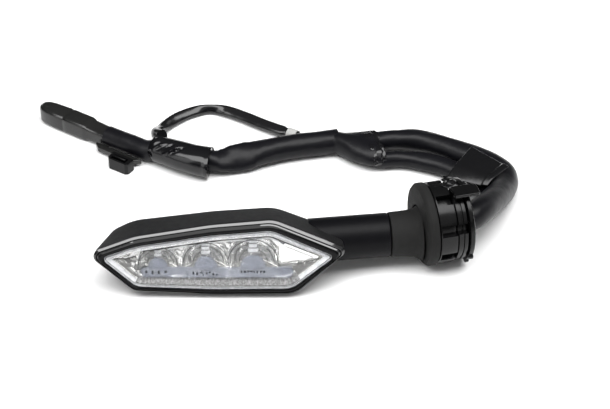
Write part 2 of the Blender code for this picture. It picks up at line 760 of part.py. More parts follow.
def build_board():
    """Circuit board, its LEDs, driver, resistors and fixing screws."""
    low = (*BOARD_LOW, BOARD_FRONT - BOARD_THICK)
    high = (*BOARD_HIGH, BOARD_FRONT)
    board = place(box("led_board", low, high, BOARD_GREEN), head_frame)
    front = BOARD_FRONT + GAP
    for index, (u, v, _radius) in enumerate(BOWLS):
        led = box(f"led_{index + 1}", (u - LED_HALF, v - LED_HALF, front),
                  (u + LED_HALF, v + LED_HALF, front + LED_HEIGHT), LED_AMBER)
        place(led, head_frame)
    for index, (u, v) in enumerate(BOARD_SCREWS):
        hole_r = SCREW_R + GAP
        profile = ((0.0, front + 1.0), (hole_r, front + 1.0),
                   (hole_r, front - 4.0), (0.0, front - 4.0))
        hole = turned(f"board_hole_{index + 1}", profile, None, steps=16)
        join(board, place(hole, head_frame, (u, v, 0.0)), "DIFFERENCE")
        profile = ((0.0, front + SCREW_HEAD_HEIGHT),
                   (SCREW_HEAD_R - 0.2, front + SCREW_HEAD_HEIGHT - 0.2), (SCREW_HEAD_R, front),
                   (SCREW_R, front), (SCREW_R, front - 5.0), (0.0, front - 5.6))
        screw = turned(f"board_screw_{index + 1}", profile, STEEL, steps=16)
        place(screw, head_frame, (u, v, 0.0))
    back = BOARD_FRONT - BOARD_THICK - GAP
    place(box("driver_chip", (CHIP_LOW.x, CHIP_LOW.y, back - CHIP_HIGH.z),
              (CHIP_HIGH.x, CHIP_HIGH.y, back), CHIP_BLACK), head_frame)
    for index, u in enumerate(RESISTOR_PLACES):
        resistor = box(f"resistor_{index + 1}",
                       (u - RESISTOR_HALF_LENGTH, RESISTOR_LOW_V, back - RESISTOR_HEIGHT),
                       (u + RESISTOR_HALF_LENGTH, RESISTOR_HIGH_V, back), CHIP_BLACK)
        place(resistor, head_frame)


def build_board_wires():
    """Two wires from the board's edge into the stalk, beside the cable."""
    depth = BOARD_FRONT - BOARD_THICK * 0.5
    for index, v in enumerate(WIRE_PLACES):
        route = ((BOARD_HIGH.x + 0.4, v, depth), (-17.4, v * 0.9, depth + 0.4),
                 (-14.6, v * 0.6, depth + 1.2), (-11.6, v * 0.6, depth + 2.0))
        place(tube(f"board_wire_{index + 1}", smooth_route(route, 1.6), WIRE_R, WIRE_COPPER),
              head_frame)


# ---- harness -----------------------------------------------------------------
def build_cord(name, route, radius, mat, spacing=2.0, sides=2):
    points = smooth_route(route, spacing * radius)
    return place(tube(name, points, radius, mat, sides), mount_frame)


def build_junction_tape():
    """Tape round the fork where the main lead and the branch become one sleeve."""
    rings = []
    for x, centre, half_width, half_height in JUNCTION_SECTIONS:
        ring = []
        for step in range(16):
            angle = math.tau * step / 16.0
            ring.append((x, centre + half_width * math.cos(angle),
                         TABLE + 5.0 + half_height * math.sin(angle)))
        rings.append(ring)
    return place(loft("junction_tape", rings, TAPE_BLACK), mount_frame)


def build_tape_flag():
    """Stiff folded tape over the fork of the main lead."""
    flag = slab("tape_flag", [FLAG_CORNERS], FLAG_THICK, TAPE_BLACK)
    return place(flag, mount_frame, (0.0, 0.0, FLAG_HEIGHT))


def build_white_tape():
    """Narrow band of white tape round the loop lead, near its end."""
    points = smooth_route(LOOP_ROUTE, 0.5)
    run = 0.0
    index = len(points) - 1
    while run < WHITE_TAPE_FROM_END:
        run += (points[index] - points[index - 1]).length
        index -= 1
    direction = points[index + 3] - points[index - 3]
    inner = LOOP_R + GAP
    profile = ((inner + 0.4, 1.7), (inner + 0.4, -1.7), (inner, -1.7), (inner, 1.7))
    return place(turned("white_tape", profile, TAPE_WHITE, True, 16),
                 mount_frame, points[index], rotate_z_to(direction))


def build_plug(plug_frame):
    """Boot over two terminals, the clip plate and the clip block."""
    outline = [(0.0, -BOOT_HALF_WIDTH), (BOOT_LENGTH * 0.5, -BOOT_HALF_WIDTH)]
    tip = BOOT_LENGTH - BOOT_TIP_R
    for step in range(9):
        angle = -0.5 * math.pi + math.pi * step / 8.0
        outline.append((tip + BOOT_TIP_R * math.cos(angle), BOOT_TIP_R * math.sin(angle)))
    outline += [(BOOT_LENGTH * 0.5, BOOT_HALF_WIDTH), (0.0, BOOT_HALF_WIDTH)]
    height = BOOT_HIGH - BOOT_LOW
    boot = slab("connector_boot", [outline], height, SLEEVE_BLACK)
    place(boot, plug_frame, (0.0, 0.0, (BOOT_HIGH + BOOT_LOW) * 0.5))
    boot = as_mesh(boot)
    along = rotate_z_to((1.0, 0.0, 0.0))
    for index, y in enumerate((-TERMINAL_SIDE, TERMINAL_SIDE)):
        bore_r = TERMINAL_R + GAP
        bore_end = TERMINAL_END + 1.0
        profile = ((0.0, bore_end), (bore_r, bore_end), (bore_r, -1.0), (0.0, -1.0))
        bore = turned(f"terminal_bore_{index + 1}", profile, None, steps=12)
        join(boot, place(bore, plug_frame, (0.0, y, TERMINAL_HEIGHT), along), "DIFFERENCE")
        profile = ((0.0, TERMINAL_END), (TERMINAL_R, TERMINAL_END - 1.0),
                   (TERMINAL_R, TERMINAL_START), (0.0, TERMINAL_START))
        pin = turned(f"terminal_{index + 1}", profile, BRASS, steps=12)
        place(pin, plug_frame, (0.0, y, TERMINAL_HEIGHT), along)
    hole_profile = ((0.0, BOOT_HIGH + 1.0), (BOOT_HOLE_R, BOOT_HIGH + 1.0),
                    (BOOT_HOLE_R, BOOT_LOW - 1.0), (0.0, BOOT_LOW - 1.0))
    hole = turned("boot_hole", hole_profile, None, steps=12)
    join(boot, place(hole, plug_frame, (BOOT_LENGTH - BOOT_HOLE_FROM_TIP, 0.0, 0.0)), "DIFFERENCE")

    plate = box("clip_plate", CLIP_PLATE_LOW, CLIP_PLATE_HIGH, SLEEVE_BLACK)
    place(plate, plug_frame)
    block = box("clip_block", CLIP_BLOCK_LOW, CLIP_BLOCK_HIGH, HOLDER_BLACK)
    place(block, plug_frame)
    slot_low = CLIP_BLOCK_LOW + Vector((1.6, 1.3, 1.2))
    slot_high = CLIP_BLOCK_HIGH + Vector((-1.6, -0.9, 1.0))
    join(block, place(box("clip_slot", slot_low, slot_high, None), plug_frame), "DIFFERENCE")


def build_tongue(tongue_frame):
    """Springy tongue in the clip block's slot, hinged at its foot."""
    low = (-TONGUE_HALF_LENGTH, -TONGUE_HALF_THICK, 0.0)
    high = (TONGUE_HALF_LENGTH, TONGUE_HALF_THICK, CLIP_BLOCK_HIGH.z - TONGUE_FOOT + 0.7)
    return place(box("clip_tongue", low, high, HOLDER_BLACK), tongue_frame)


def build_harness():
    build_cord("main_lead", MAIN_ROUTE, MAIN_R, SLEEVE_BLACK, 1.2)
    build_cord("branch_lead", BRANCH_ROUTE, BRANCH_R, SLEEVE_BLACK)
    build_cord("sleeve", SLEEVE_ROUTE, SLEEVE_R, SLEEVE_BLACK)
    build_cord("tape_wrap", WRAP_ROUTE, WRAP_R, TAPE_BLACK, 1.0)
    build_cord("loop_lead", LOOP_ROUTE, LOOP_R, SLEEVE_BLACK, 2.4)
    build_cord("tail_tube", TAIL_ROUTE, TAIL_R, SLEEVE_BLACK)
    build_junction_tape()
    build_tape_flag()
    build_white_tape()
    plug_matrix = Matrix.Translation(MOUNT_ORIGIN + PLUG_AT)
    plug_matrix = plug_matrix @ Matrix.Rotation(PLUG_HEADING, 4, "Z")
    plug_frame = frame_empty("plug_frame", plug_matrix, mount_frame)
    build_plug(plug_frame)
    middle = (CLIP_BLOCK_LOW.x + CLIP_BLOCK_HIGH.x) * 0.5
    foot = Vector((middle, TONGUE_Y, TONGUE_FOOT))
    tongue_matrix = plug_matrix @ Matrix.Translation(foot)
    build_tongue(frame_empty("tongue_hinge", tongue_matrix, plug_frame))


def shade_smooth_parts():
    """Smooth shading, with edges sharper than 35 degrees kept crisp."""
    for obj in PARTS.objects:
        if obj.type == "MESH" and obj.data.polygons:
            obj.data.shade_smooth()
            obj.data.set_sharp_from_angle(angle=math.radians(35.0))


build_damper_flange()
build_mount_core()
build_holder_ring()
build_retaining_clip()
build_end_ring()
build_grommet()
build_mount_cable()
build_neck()
build_stalk()
build_stalk_insert()
build_stalk_cable()
build_housing()
build_bezel()
build_lens()
build_lens_seal()
build_reflector()
build_light_guide()
build_board()
build_board_wires()
build_harness()
shade_smooth_parts()
bpy.context.view_layer.update()
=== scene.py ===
"""Looks of the motorcycle turn signal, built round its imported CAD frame.

Every length in the tables below is in millimetres. Points are given in the part's
own frame (ROW_FRAME) or in one of five others: the mount (flange centre), the axle
(along the mounting axis), the stalk, the lamp head (u, v, w) and the connector boot.
"""
import math
import random

import bmesh
import bpy
from mathutils import Matrix, Vector, noise


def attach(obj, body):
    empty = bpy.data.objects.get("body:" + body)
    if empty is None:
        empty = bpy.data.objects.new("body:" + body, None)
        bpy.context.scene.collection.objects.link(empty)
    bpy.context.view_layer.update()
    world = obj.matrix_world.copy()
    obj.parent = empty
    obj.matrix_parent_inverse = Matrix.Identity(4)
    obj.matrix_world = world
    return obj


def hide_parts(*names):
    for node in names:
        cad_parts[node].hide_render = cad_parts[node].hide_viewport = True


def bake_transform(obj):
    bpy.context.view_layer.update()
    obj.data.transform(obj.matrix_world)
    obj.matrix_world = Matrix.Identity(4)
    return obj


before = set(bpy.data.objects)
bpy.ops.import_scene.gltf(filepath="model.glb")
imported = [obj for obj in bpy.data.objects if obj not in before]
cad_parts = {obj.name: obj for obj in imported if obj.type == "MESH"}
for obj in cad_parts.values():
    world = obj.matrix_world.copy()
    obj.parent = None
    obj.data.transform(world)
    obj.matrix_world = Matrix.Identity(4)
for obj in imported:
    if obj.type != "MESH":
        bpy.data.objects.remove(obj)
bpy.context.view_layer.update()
MM = 0.001
random.seed(7)

# ---- frames, as in the CAD source ----------------------------------------------
MOUNT = Vector((51.2, -7.0, 15.0))
STALK_DROP = Vector((0.0, -0.96, -2.95))
STALK_SWEEP = math.radians(7.2)
PIVOT_AT = 9.9
HEAD_AT = 32.0
HEAD_FORWARD = 16.0
HEAD_TURN = math.radians(14.0)
HEAD_TILT = math.radians(18.0)
PLUG_AT = Vector((-99.6, 94.6, -15.0))
PLUG_HEADING = math.atan2(24.6, -23.0)


def axes(x_axis, y_axis, z_axis, origin):
    matrix = Matrix((x_axis, y_axis, z_axis)).transposed().to_4x4()
    matrix.translation = origin
    return matrix


X, Y, Z = Vector((1, 0, 0)), Vector((0, 1, 0)), Vector((0, 0, 1))
MOUNT_FRAME = Matrix.Translation(MOUNT)
AXLE_FRAME = axes(Y, Z, X, MOUNT)  # local z runs along +X, angle 0 at +Y
stalk_way = Vector((-math.cos(STALK_SWEEP), math.sin(STALK_SWEEP), 0.0))
STALK_FRAME = axes(stalk_way.cross(Z), Z, stalk_way, MOUNT + STALK_DROP)
head_u = Vector((math.cos(HEAD_TURN), -math.sin(HEAD_TURN), 0.0))
head_level = Vector((-math.sin(HEAD_TURN), -math.cos(HEAD_TURN), 0.0))
head_w = head_level * math.cos(HEAD_TILT) + Z * math.sin(HEAD_TILT)
head_v = Z * math.cos(HEAD_TILT) - head_level * math.sin(HEAD_TILT)
HEAD_FRAME = axes(head_u, head_v, head_w,
                  MOUNT + STALK_DROP + stalk_way * HEAD_AT + head_w * HEAD_FORWARD)
PLUG_FRAME = Matrix.Translation(MOUNT + PLUG_AT) @ Matrix.Rotation(PLUG_HEADING, 4, "Z")
ROW_FRAME = Matrix.Identity(4)

# ---- camera: the photograph's view --------------------------------------------
CAMERA_AT = Vector((-103.50, -445.62, 385.32))
CAMERA_WAY = Vector((0.19064, 0.76460, -0.61566))
CAMERA_UP = Vector((0.14894, 0.59738, 0.78801))

camera_data = bpy.data.cameras.new("camera")
camera_data.lens = 98.0
camera_data.sensor_width = 36.0
camera_data.clip_start = 0.01
camera = bpy.data.objects.new("camera", camera_data)
bpy.context.scene.collection.objects.link(camera)
camera_side = CAMERA_WAY.cross(CAMERA_UP)
camera.matrix_world = axes(camera_side, CAMERA_UP, -CAMERA_WAY, CAMERA_AT * MM)
bpy.context.scene.camera = camera
bpy.context.scene.view_settings.view_transform = "Standard"


# ---- materials -----------------------------------------------------------------
def shader_of(name):
    mat = bpy.data.materials.new(name)
    mat.use_nodes = True
    return mat, mat.node_tree, mat.node_tree.nodes["Principled BSDF"]


def noise_node(tree, scale, detail=3.0, distortion=0.0):
    where = tree.nodes.new("ShaderNodeTexCoord")
    made = tree.nodes.new("ShaderNodeTexNoise")
    made.inputs["Scale"].default_value = scale
    made.inputs["Detail"].default_value = detail
    made.inputs["Distortion"].default_value = distortion
    tree.links.new(where.outputs["Object"], made.inputs["Vector"])
    return made


def bump_chain(tree, shader, layers):
    """Each layer is (scale, strength, depth in mm, distortion)."""
    last = None
    for scale, strength, depth, distortion in layers:
        grain = noise_node(tree, scale, 3.0, distortion)
        bump = tree.nodes.new("ShaderNodeBump")
        bump.inputs["Strength"].default_value = strength
        bump.inputs["Distance"].default_value = depth * MM
        tree.links.new(grain.outputs["Fac"], bump.inputs["Height"])
        if last is not None:
            tree.links.new(last.outputs["Normal"], bump.inputs["Normal"])
        last = bump
    if last is not None:
        tree.links.new(last.outputs["Normal"], shader.inputs["Normal"])


def ramp_between(tree, source, low, high, target, is_colour=False):
    """Spread a 0 to 1 factor over a range of values or colours."""
    if is_colour:
        mix = tree.nodes.new("ShaderNodeMix")
        mix.data_type = "RGBA"
        mix.inputs["A"].default_value = (*low, 1.0)
        mix.inputs["B"].default_value = (*high, 1.0)
        tree.links.new(source, mix.inputs["Factor"])
        tree.links.new(mix.outputs["Result"], target)
        return
    spread = tree.nodes.new("ShaderNodeMapRange")
    spread.inputs["To Min"].default_value = low
    spread.inputs["To Max"].default_value = high
    tree.links.new(source, spread.inputs["Value"])
    tree.links.new(spread.outputs["Result"], target)


def plastic(name, colour, rough, layers, specular=0.5, patch=180.0, shade=0.25, metal=0.0):
    """A moulded or extruded surface with uneven shade, sheen and grain."""
    mat, tree, shader = shader_of(name)
    shader.inputs["Specular IOR Level"].default_value = specular
    shader.inputs["Metallic"].default_value = metal
    patches = noise_node(tree, patch, 4.0)
    dark = [c * (1.0 - shade) for c in colour]
    light = [min(1.0, c * (1.0 + shade)) for c in colour]
    ramp_between(tree, patches.outputs["Fac"], dark, light, shader.inputs["Base Color"], True)
    wear = noise_node(tree, patch * 3.0, 2.0)
    low, high = rough
    ramp_between(tree, wear.outputs["Fac"], low, high, shader.inputs["Roughness"])
    bump_chain(tree, shader, layers)
    return mat


# moulded and taped surfaces first, then metals and clear plastics
HOUSING = plastic("housing_grain", (0.0090, 0.0090, 0.0095), (0.50, 0.64),
                  ((7000, 0.35, 0.05, 0.0), (1200, 0.10, 0.08, 0.0)), 0.17)
STALK = plastic("stalk_satin", (0.0026, 0.0026, 0.0034), (0.36, 0.46),
                ((6000, 0.25, 0.04, 0.0), (900, 0.08, 0.08, 0.0)), 0.10)
RUBBER = plastic("damper_rubber", (0.0110, 0.0110, 0.0108), (0.66, 0.82),
                 ((5200, 0.45, 0.06, 0.0), (700, 0.15, 0.12, 0.0)), 0.16, 120.0)
BEZEL = plastic("bezel_gloss", (0.0014, 0.0014, 0.0017), (0.06, 0.10),
                ((500, 0.02, 0.05, 0.0),), 0.16)
BEZEL_EDGE = plastic("bezel_polished_edge", (0.0020, 0.0020, 0.0024), (0.05, 0.09),
                     ((500, 0.02, 0.05, 0.0),), 1.0)
HOLDER = plastic("holder_gloss", (0.0024, 0.0024, 0.0026), (0.14, 0.28),
                 ((420, 0.25, 0.12, 0.5), (4200, 0.08, 0.03, 0.0)), 0.26)
SLEEVE = plastic("sleeve_satin", (0.0038, 0.0038, 0.0052), (0.30, 0.42),
                 ((230, 0.35, 0.30, 0.4), (5200, 0.15, 0.03, 0.0)), 0.19)
TAPE = plastic("tape_gloss", (0.0024, 0.0024, 0.0032), (0.10, 0.18),
               ((80, 0.12, 0.50, 0.4), (3000, 0.05, 0.03, 0.0)), 0.42)
TAPE_LEAD = plastic("lead_gloss", (0.0040, 0.0040, 0.0046), (0.12, 0.22),
                    ((200, 0.15, 0.20, 0.3), (3000, 0.06, 0.03, 0.0)), 0.50)
FLAG = plastic("flag_gloss", (0.0032, 0.0032, 0.0038), (0.16, 0.28),
               ((90, 0.20, 0.50, 0.6), (1600, 0.15, 0.05, 0.0)), 0.36)
BOOT = plastic("boot_satin", (0.0100, 0.0100, 0.0096), (0.15, 0.27),
               ((300, 0.15, 0.15, 0.0), (5200, 0.20, 0.04, 0.0)), 0.45)
CHROME = plastic("chrome_coat", (0.80, 0.80, 0.785), (0.05, 0.10),
                 ((260, 0.05, 0.08, 0.0),), 0.5, 150.0, 0.03, 0.86)
STEEL = plastic("tube_steel", (0.60, 0.60, 0.62), (0.25, 0.40), ((2500, 0.1, 0.05, 0.0),),
                0.5, 200.0, 0.08, 1.0)
BRASS = plastic("terminal_brass", (0.78, 0.58, 0.25), (0.22, 0.34), ((2500, 0.1, 0.05, 0.0),),
                0.5, 300.0, 0.08, 1.0)
BOARD = plastic("solder_resist", (0.05, 0.20, 0.10), (0.35, 0.5), ((3000, 0.2, 0.03, 0.0),))
LED = plastic("phosphor", (0.95, 0.75, 0.25), (0.25, 0.4), ((4000, 0.1, 0.02, 0.0),),
              0.5, 900.0, 0.06)
CHIP = plastic("chip_package", (0.02, 0.02, 0.02), (0.4, 0.6), ((6000, 0.3, 0.03, 0.0),))
CABLE = plastic("cable_jacket", (0.03, 0.03, 0.03), (0.35, 0.5), ((5000, 0.2, 0.04, 0.0),))
SEAL = plastic("seal_bead", (0.25, 0.25, 0.25), (0.5, 0.7), ((900, 0.3, 0.1, 0.0),))


def woven_tape():
    """White cloth tape with its fine weave."""
    mat, tree, shader = shader_of("white_cloth_tape")
    weave = noise_node(tree, 2600.0, 2.0)
    ramp_between(tree, weave.outputs["Fac"], (0.30, 0.30, 0.29), (0.46, 0.46, 0.45),
                 shader.inputs["Base Color"], True)
    shader.inputs["Roughness"].default_value = 0.7
    bump_chain(tree, shader, ((2600, 0.5, 0.08, 0.0),))
    return mat


def lens_plastic():
    """Clear moulded cover: mostly see-through, with a polished skin."""
    mat, tree, shader = shader_of("lens_clear")
    shader.inputs["Base Color"].default_value = (0.97, 0.98, 1.0, 1.0)
    shader.inputs["Roughness"].default_value = 0.02
    shader.inputs["IOR"].default_value = 1.46
    shader.inputs["Transmission Weight"].default_value = 1.0
    shader.inputs["Alpha"].default_value = 0.14
    bump_chain(tree, shader, ((120, 0.06, 0.10, 0.0),))
    return mat


def frosted_plastic(name, dark, light, transmission, rough, speck_scale, alpha, relief):
    """Frosted light guide: fine prisms seen as specks."""
    mat, tree, shader = shader_of(name)
    where = tree.nodes.new("ShaderNodeTexCoord")
    cells = tree.nodes.new("ShaderNodeTexVoronoi")
    cells.inputs["Scale"].default_value = speck_scale
    tree.links.new(where.outputs["Object"], cells.inputs["Vector"])
    ramp_between(tree, cells.outputs["Distance"], dark, light, shader.inputs["Base Color"], True)
    shader.inputs["Roughness"].default_value = rough
    shader.inputs["IOR"].default_value = 1.45
    shader.inputs["Transmission Weight"].default_value = transmission
    shader.inputs["Alpha"].default_value = alpha
    bump = tree.nodes.new("ShaderNodeBump")
    bump.inputs["Strength"].default_value = relief
    bump.inputs["Distance"].default_value = 0.15 * MM
    tree.links.new(cells.outputs["Distance"], bump.inputs["Height"])
    tree.links.new(bump.outputs["Normal"], shader.inputs["Normal"])
    return mat


MARK = plastic("guide_mark", (0.02, 0.022, 0.03), (0.3, 0.5), ((3000, 0.1, 0.03, 0.0),))
# This dark colour is painted shade. It is laid on thin ribs along the step edges in the bowls, along the
# tray's ends and under the lens's upper edge.
STEP_SHADE = plastic("step_shade_paint", (0.045, 0.045, 0.042), (0.2, 0.3), ((3000, 0.1, 0.03, 0.0),))
GREY_FACET = plastic("grey_facet", (0.15, 0.15, 0.145), (0.2, 0.4), ((1800, 0.6, 0.10, 0.0),))
WHITE_TAPE = woven_tape()
LENS = lens_plastic()
FROST = frosted_plastic("frosted_guide", (0.10, 0.11, 0.14), (0.50, 0.54, 0.65),
                        0.2, 0.25, 1500, 0.44, 0.5)
FROST_BAND = frosted_plastic("frosted_band", (0.03, 0.03, 0.028), (0.30, 0.30, 0.30),
                             0.0, 0.40, 1500, 1.0, 0.7)
# This light, opaque colour is a painted highlight. It is laid on strips round the lens edge, on two of
# the ribs under its upper edge and on the steps at the top of each bowl, where the clear plastic and the
# chrome show bright reflections.
LENS_HIGHLIGHT = frosted_plastic("lens_highlight_paint", (0.60, 0.61, 0.63), (0.92, 0.93, 0.95),
                            0.25, 0.12, 600, 1.0, 0.3)


# ---- geometry helpers ------------------------------------------------------------
def add_object(name, data):
    obj = bpy.data.objects.new(name, data)
    bpy.context.scene.collection.objects.link(obj)
    return obj


def make_piece(name, shape, matrix, mat, body, stands_for=(), sharp=34.0):
    """A mesh piece from a shape, which is its points in a frame's millimetres and its faces."""
    verts, faces = shape
    mesh = bpy.data.meshes.new(name)
    mesh.from_pydata([tuple((matrix @ Vector(v)) * MM) for v in verts], [], faces)
    bm = bmesh.new()
    bm.from_mesh(mesh)
    bmesh.ops.remove_doubles(bm, verts=bm.verts, dist=0.000002)
    bmesh.ops.recalc_face_normals(bm, faces=bm.faces)
    bm.to_mesh(mesh)
    bm.free()
    mesh.shade_smooth()
    mesh.set_sharp_from_angle(angle=math.radians(sharp))
    mesh.materials.append(mat)
    obj = add_object(name, mesh)
    if body is not None:
        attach(obj, body)
    if stands_for:
        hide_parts(*stands_for)
    return obj


def skin(rows, close_rows=True, close_columns=False, cap_start=False, cap_end=False):
    """Vertices and faces over rows of equally many points."""
    verts = [point for row in rows for point in row]
    count = len(rows[0])
    faces = []
    row_pairs = len(rows) if close_columns else len(rows) - 1
    cell_count = count if close_rows else count - 1
    for i in range(row_pairs):
        j = (i + 1) % len(rows)
        for k in range(cell_count):
            m = (k + 1) % count
            faces.append((i * count + k, i * count + m, j * count + m, j * count + k))
    if cap_start:
        faces.append(tuple(range(count)))
    if cap_end:
        faces.append(tuple(range((len(rows) - 1) * count, len(rows) * count)))
    return verts, faces


def capped(rows, cap_start=True):
    """Closed rows with a face over the last row and, if wanted, over the first."""
    return skin(rows, True, False, cap_start, True)


def bevel(obj, width, segments=3, angle=40.0):
    modifier = obj.modifiers.new("edge", "BEVEL")
    modifier.width = width * MM
    modifier.segments = segments
    modifier.limit_method = "ANGLE"
    modifier.angle_limit = math.radians(angle)
    modifier.use_clamp_overlap = True
    return obj


def lathe(profile, steps=96, shape=None):
    """Rows round an axis from (radius, along) points; shape(angle, r, along) -> (r, along)."""
    rows = []
    for step in range(steps):
        angle = math.tau * step / steps
        row = []
        for radius, along in profile:
            if shape is not None:
                radius, along = shape(angle, radius, along)
            row.append((radius * math.cos(angle), radius * math.sin(angle), along))
        rows.append(row)
    return skin(rows, True, True)


def smooth(points, per_span=8):
    """Catmull-Rom curve through tuples of any length."""
    padded = [points[0], *points, points[-1]]
    fine = []
    for a, b, c, d in zip(padded, padded[1:], padded[2:], padded[3:]):
        for step in range(per_span):
            t = step / per_span
            fine.append(tuple(
                0.5 * (2 * q + (r - p) * t + (2 * p - 5 * q + 4 * r - s) * t * t
                       + (3 * q - p - 3 * r + s) * t * t * t)
                for p, q, r, s in zip(a, b, c, d)))
    fine.append(tuple(points[-1]))
    return fine


def even(points, spacing):
    """Points along a polyline at an even spacing."""
    points = [Vector(p) for p in points]
    lengths = [0.0]
    for a, b in zip(points, points[1:]):
        lengths.append(lengths[-1] + (b - a).length)
    count = max(2, round(lengths[-1] / spacing))
    made = []
    index = 0
    for step in range(count + 1):
        wanted = lengths[-1] * step / count
        while index < len(points) - 2 and lengths[index + 1] < wanted:
            index += 1
        share = (wanted - lengths[index]) / max(1e-9, lengths[index + 1] - lengths[index])
        made.append(points[index].lerp(points[index + 1], share))
    return made


def route(points, spacing=0.8):
    padded = [tuple(2 * a - b for a, b in zip(points[0], points[1])), *points,
              tuple(2 * a - b for a, b in zip(points[-1], points[-2]))]
    return even(smooth(padded, 10)[10:-10], spacing)


def run_length(points):
    return sum((b - a).length for a, b in zip(points, points[1:]))


def between(table, at):
    """Row of a table at a place, eased between its neighbours; column 0 is the place."""
    if at <= table[0][0]:
        return table[0][1:]
    for low, high in zip(table, table[1:]):
        if at <= high[0]:
            share = (at - low[0]) / (high[0] - low[0])
            share = share * share * (3.0 - 2.0 * share)
            return tuple(a + (b - a) * share for a, b in zip(low[1:], high[1:]))
    return table[-1][1:]


def sweep_rows(points, table, sides=40, wrinkle=0.0, crease=0.0, seed=0.0):
    """Rings along a route; table rows are (mm along, half width, half height, roll, squareness)."""
    rows = []
    along = 0.0
    for i, point in enumerate(points):
        if i:
            along += (point - points[i - 1]).length
        before, after = points[max(0, i - 1)], points[min(len(points) - 1, i + 1)]
        way = (after - before).normalized()
        side = way.cross(Z).normalized()
        up = side.cross(way)
        half_width, half_height, roll, square = between(table, along)
        turn = math.radians(roll)
        row = []
        for step in range(sides):
            angle = math.tau * step / sides
            cos, sin = math.cos(angle), math.sin(angle)
            power = 1.0 - 0.55 * square
            a = math.copysign(abs(cos) ** power, cos) * half_width
            b = math.copysign(abs(sin) ** power, sin) * half_height
            if wrinkle or crease:
                place = Vector((cos * 1.6, sin * 1.6, along * 0.16 + seed))
                bump = noise.noise(place) * wrinkle
                fold = noise.noise(Vector((cos * 2.2 + along * 0.10, sin * 2.2, along * 0.28 + seed)))
                bump -= crease * max(0.0, 1.0 - abs(fold) * 7.0)
                a *= 1.0 + bump / max(half_width, 0.1)
                b *= 1.0 + bump / max(half_height, 0.1)
            x = a * math.cos(turn) - b * math.sin(turn)
            y = a * math.sin(turn) + b * math.cos(turn)
            row.append(point + side * x + up * y)
        rows.append(row)
    return rows


def lipped(rows, lip_start=True, lip_end=True, wall=0.6, depth=2.5):
    """Turn each open end of a swept tube into a cut end with a wall and a hollow."""
    made = list(rows)

    def ends(edge, neighbour):
        middle = centre_of(edge)
        inward = (sum((Vector(p) for p in neighbour), Vector())
                  - sum((Vector(p) for p in edge), Vector())).normalized()
        rim = [p + (middle - p).normalized() * 0.12 for p in edge]
        inner = [p + (middle - p).normalized() * wall for p in edge]
        deep = [p + (middle - p).normalized() * (wall + 0.1) + inward * depth for p in edge]
        return [rim, inner, deep]

    if lip_start:
        made = list(reversed(ends(rows[0], rows[1]))) + made
    if lip_end:
        made = made + ends(rows[-1], rows[-2])
    return made


def prism(outline, low, high):
    """A plate from a closed outline in xy."""
    lower = [(x, y, low) for x, y in outline]
    upper = [(x, y, high) for x, y in outline]
    return capped([lower, upper])


def centre_of(points):
    return sum((Vector(p) for p in points), Vector()) / len(points)


def block(low, high):
    (x0, y0, z0), (x1, y1, z1) = low, high
    return prism([(x0, y0), (x1, y0), (x1, y1), (x0, y1)], z0, z1)


# ---- damper, holder and clip -------------------------------------------------------
FLANGE_PROFILE = (
    (9.0, 12.6), (9.0, 10.8), (10.8, 10.8), (10.8, 0.0), (14.5, 0.0), (14.85, -0.12), (15.0, -0.45),
    (15.0, -2.35), (14.94, -2.5), (14.0, -3.5), (13.8, -3.58), (11.6, -3.62), (10.4, -3.68),
    (7.4, -3.9), (7.4, 12.6),
)


def build_flange():
    shape = lathe(FLANGE_PROFILE, 128)
    make_piece("flange_rubber", shape, AXLE_FRAME, RUBBER, "mount",
               ("damper_flange",), 28.0)


def neck_rows(start, end, count):
    """Rings of the rubber neck between two places along the stalk."""
    shape = ((3.4, 10.2), (4.0, 9.6), (4.9, 9.0), (6.2, 8.55), (8.4, 8.3), (11.0, 8.15), (13.9, 8.05),
             (14.2, 7.9))
    steps = 72
    rows = []
    for i in range(count + 1):
        along = start + (end - start) * i / count
        (radius,) = between(shape, along)
        rows.append([(radius * math.cos(math.tau * k / steps),
                      radius * math.sin(math.tau * k / steps), along) for k in range(steps)])
    return rows


def build_neck():
    """The rubber neck in two halves that meet at the pivot."""
    halves = (("neck_mount_half", 3.4, PIVOT_AT, "mount", "neck"),
              ("neck_stalk_half", PIVOT_AT, 14.2, "neck", "arm"))
    for name, start, end, body_a, body_b in halves:
        rows = neck_rows(start, end, 14)
        if body_b == "arm":
            last = rows[-1]
            rows.append([(x * 0.93, y * 0.93, z + 0.12) for x, y, z in last])
            rows.append([(x * 0.72, y * 0.72, z + 0.12) for x, y, z in last])
        shape = skin(rows)
        obj = make_piece(name, shape, STALK_FRAME, RUBBER, None,
                         ("damper_neck",), 50.0)
        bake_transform(obj)


HOLDER_SLOTS = 8
SLOT_PHASE = 0.467
SLOT_START = 0.9
SLOT_HALF_WIDTH = 1.9
SLOT_DEPTH = 2.3
SLOT_EDGE = 0.12
HOLDER_WALL_R = 13.9
TOOTH_ANGLES = (233.0, 208.0)
CLIP_WALL_R = 13.0
NOTCH_ANGLE = 156.0
NOTCH_HALF_ANGLE = 6.5
NOTCH_DEPTH = 2.0


def slotted(angle, radius, along):
    """Radial slots of the holder ring, cut only into its outer wall."""
    if radius > HOLDER_WALL_R and along > SLOT_START:
        phase = (angle / math.tau * HOLDER_SLOTS - SLOT_PHASE) % 1.0
        near = min(phase, 1.0 - phase) / HOLDER_SLOTS * math.tau * 14.0
        if near < SLOT_HALF_WIDTH:
            radius -= SLOT_DEPTH * min(1.0, (SLOT_HALF_WIDTH - near) / SLOT_EDGE)
    return radius, along


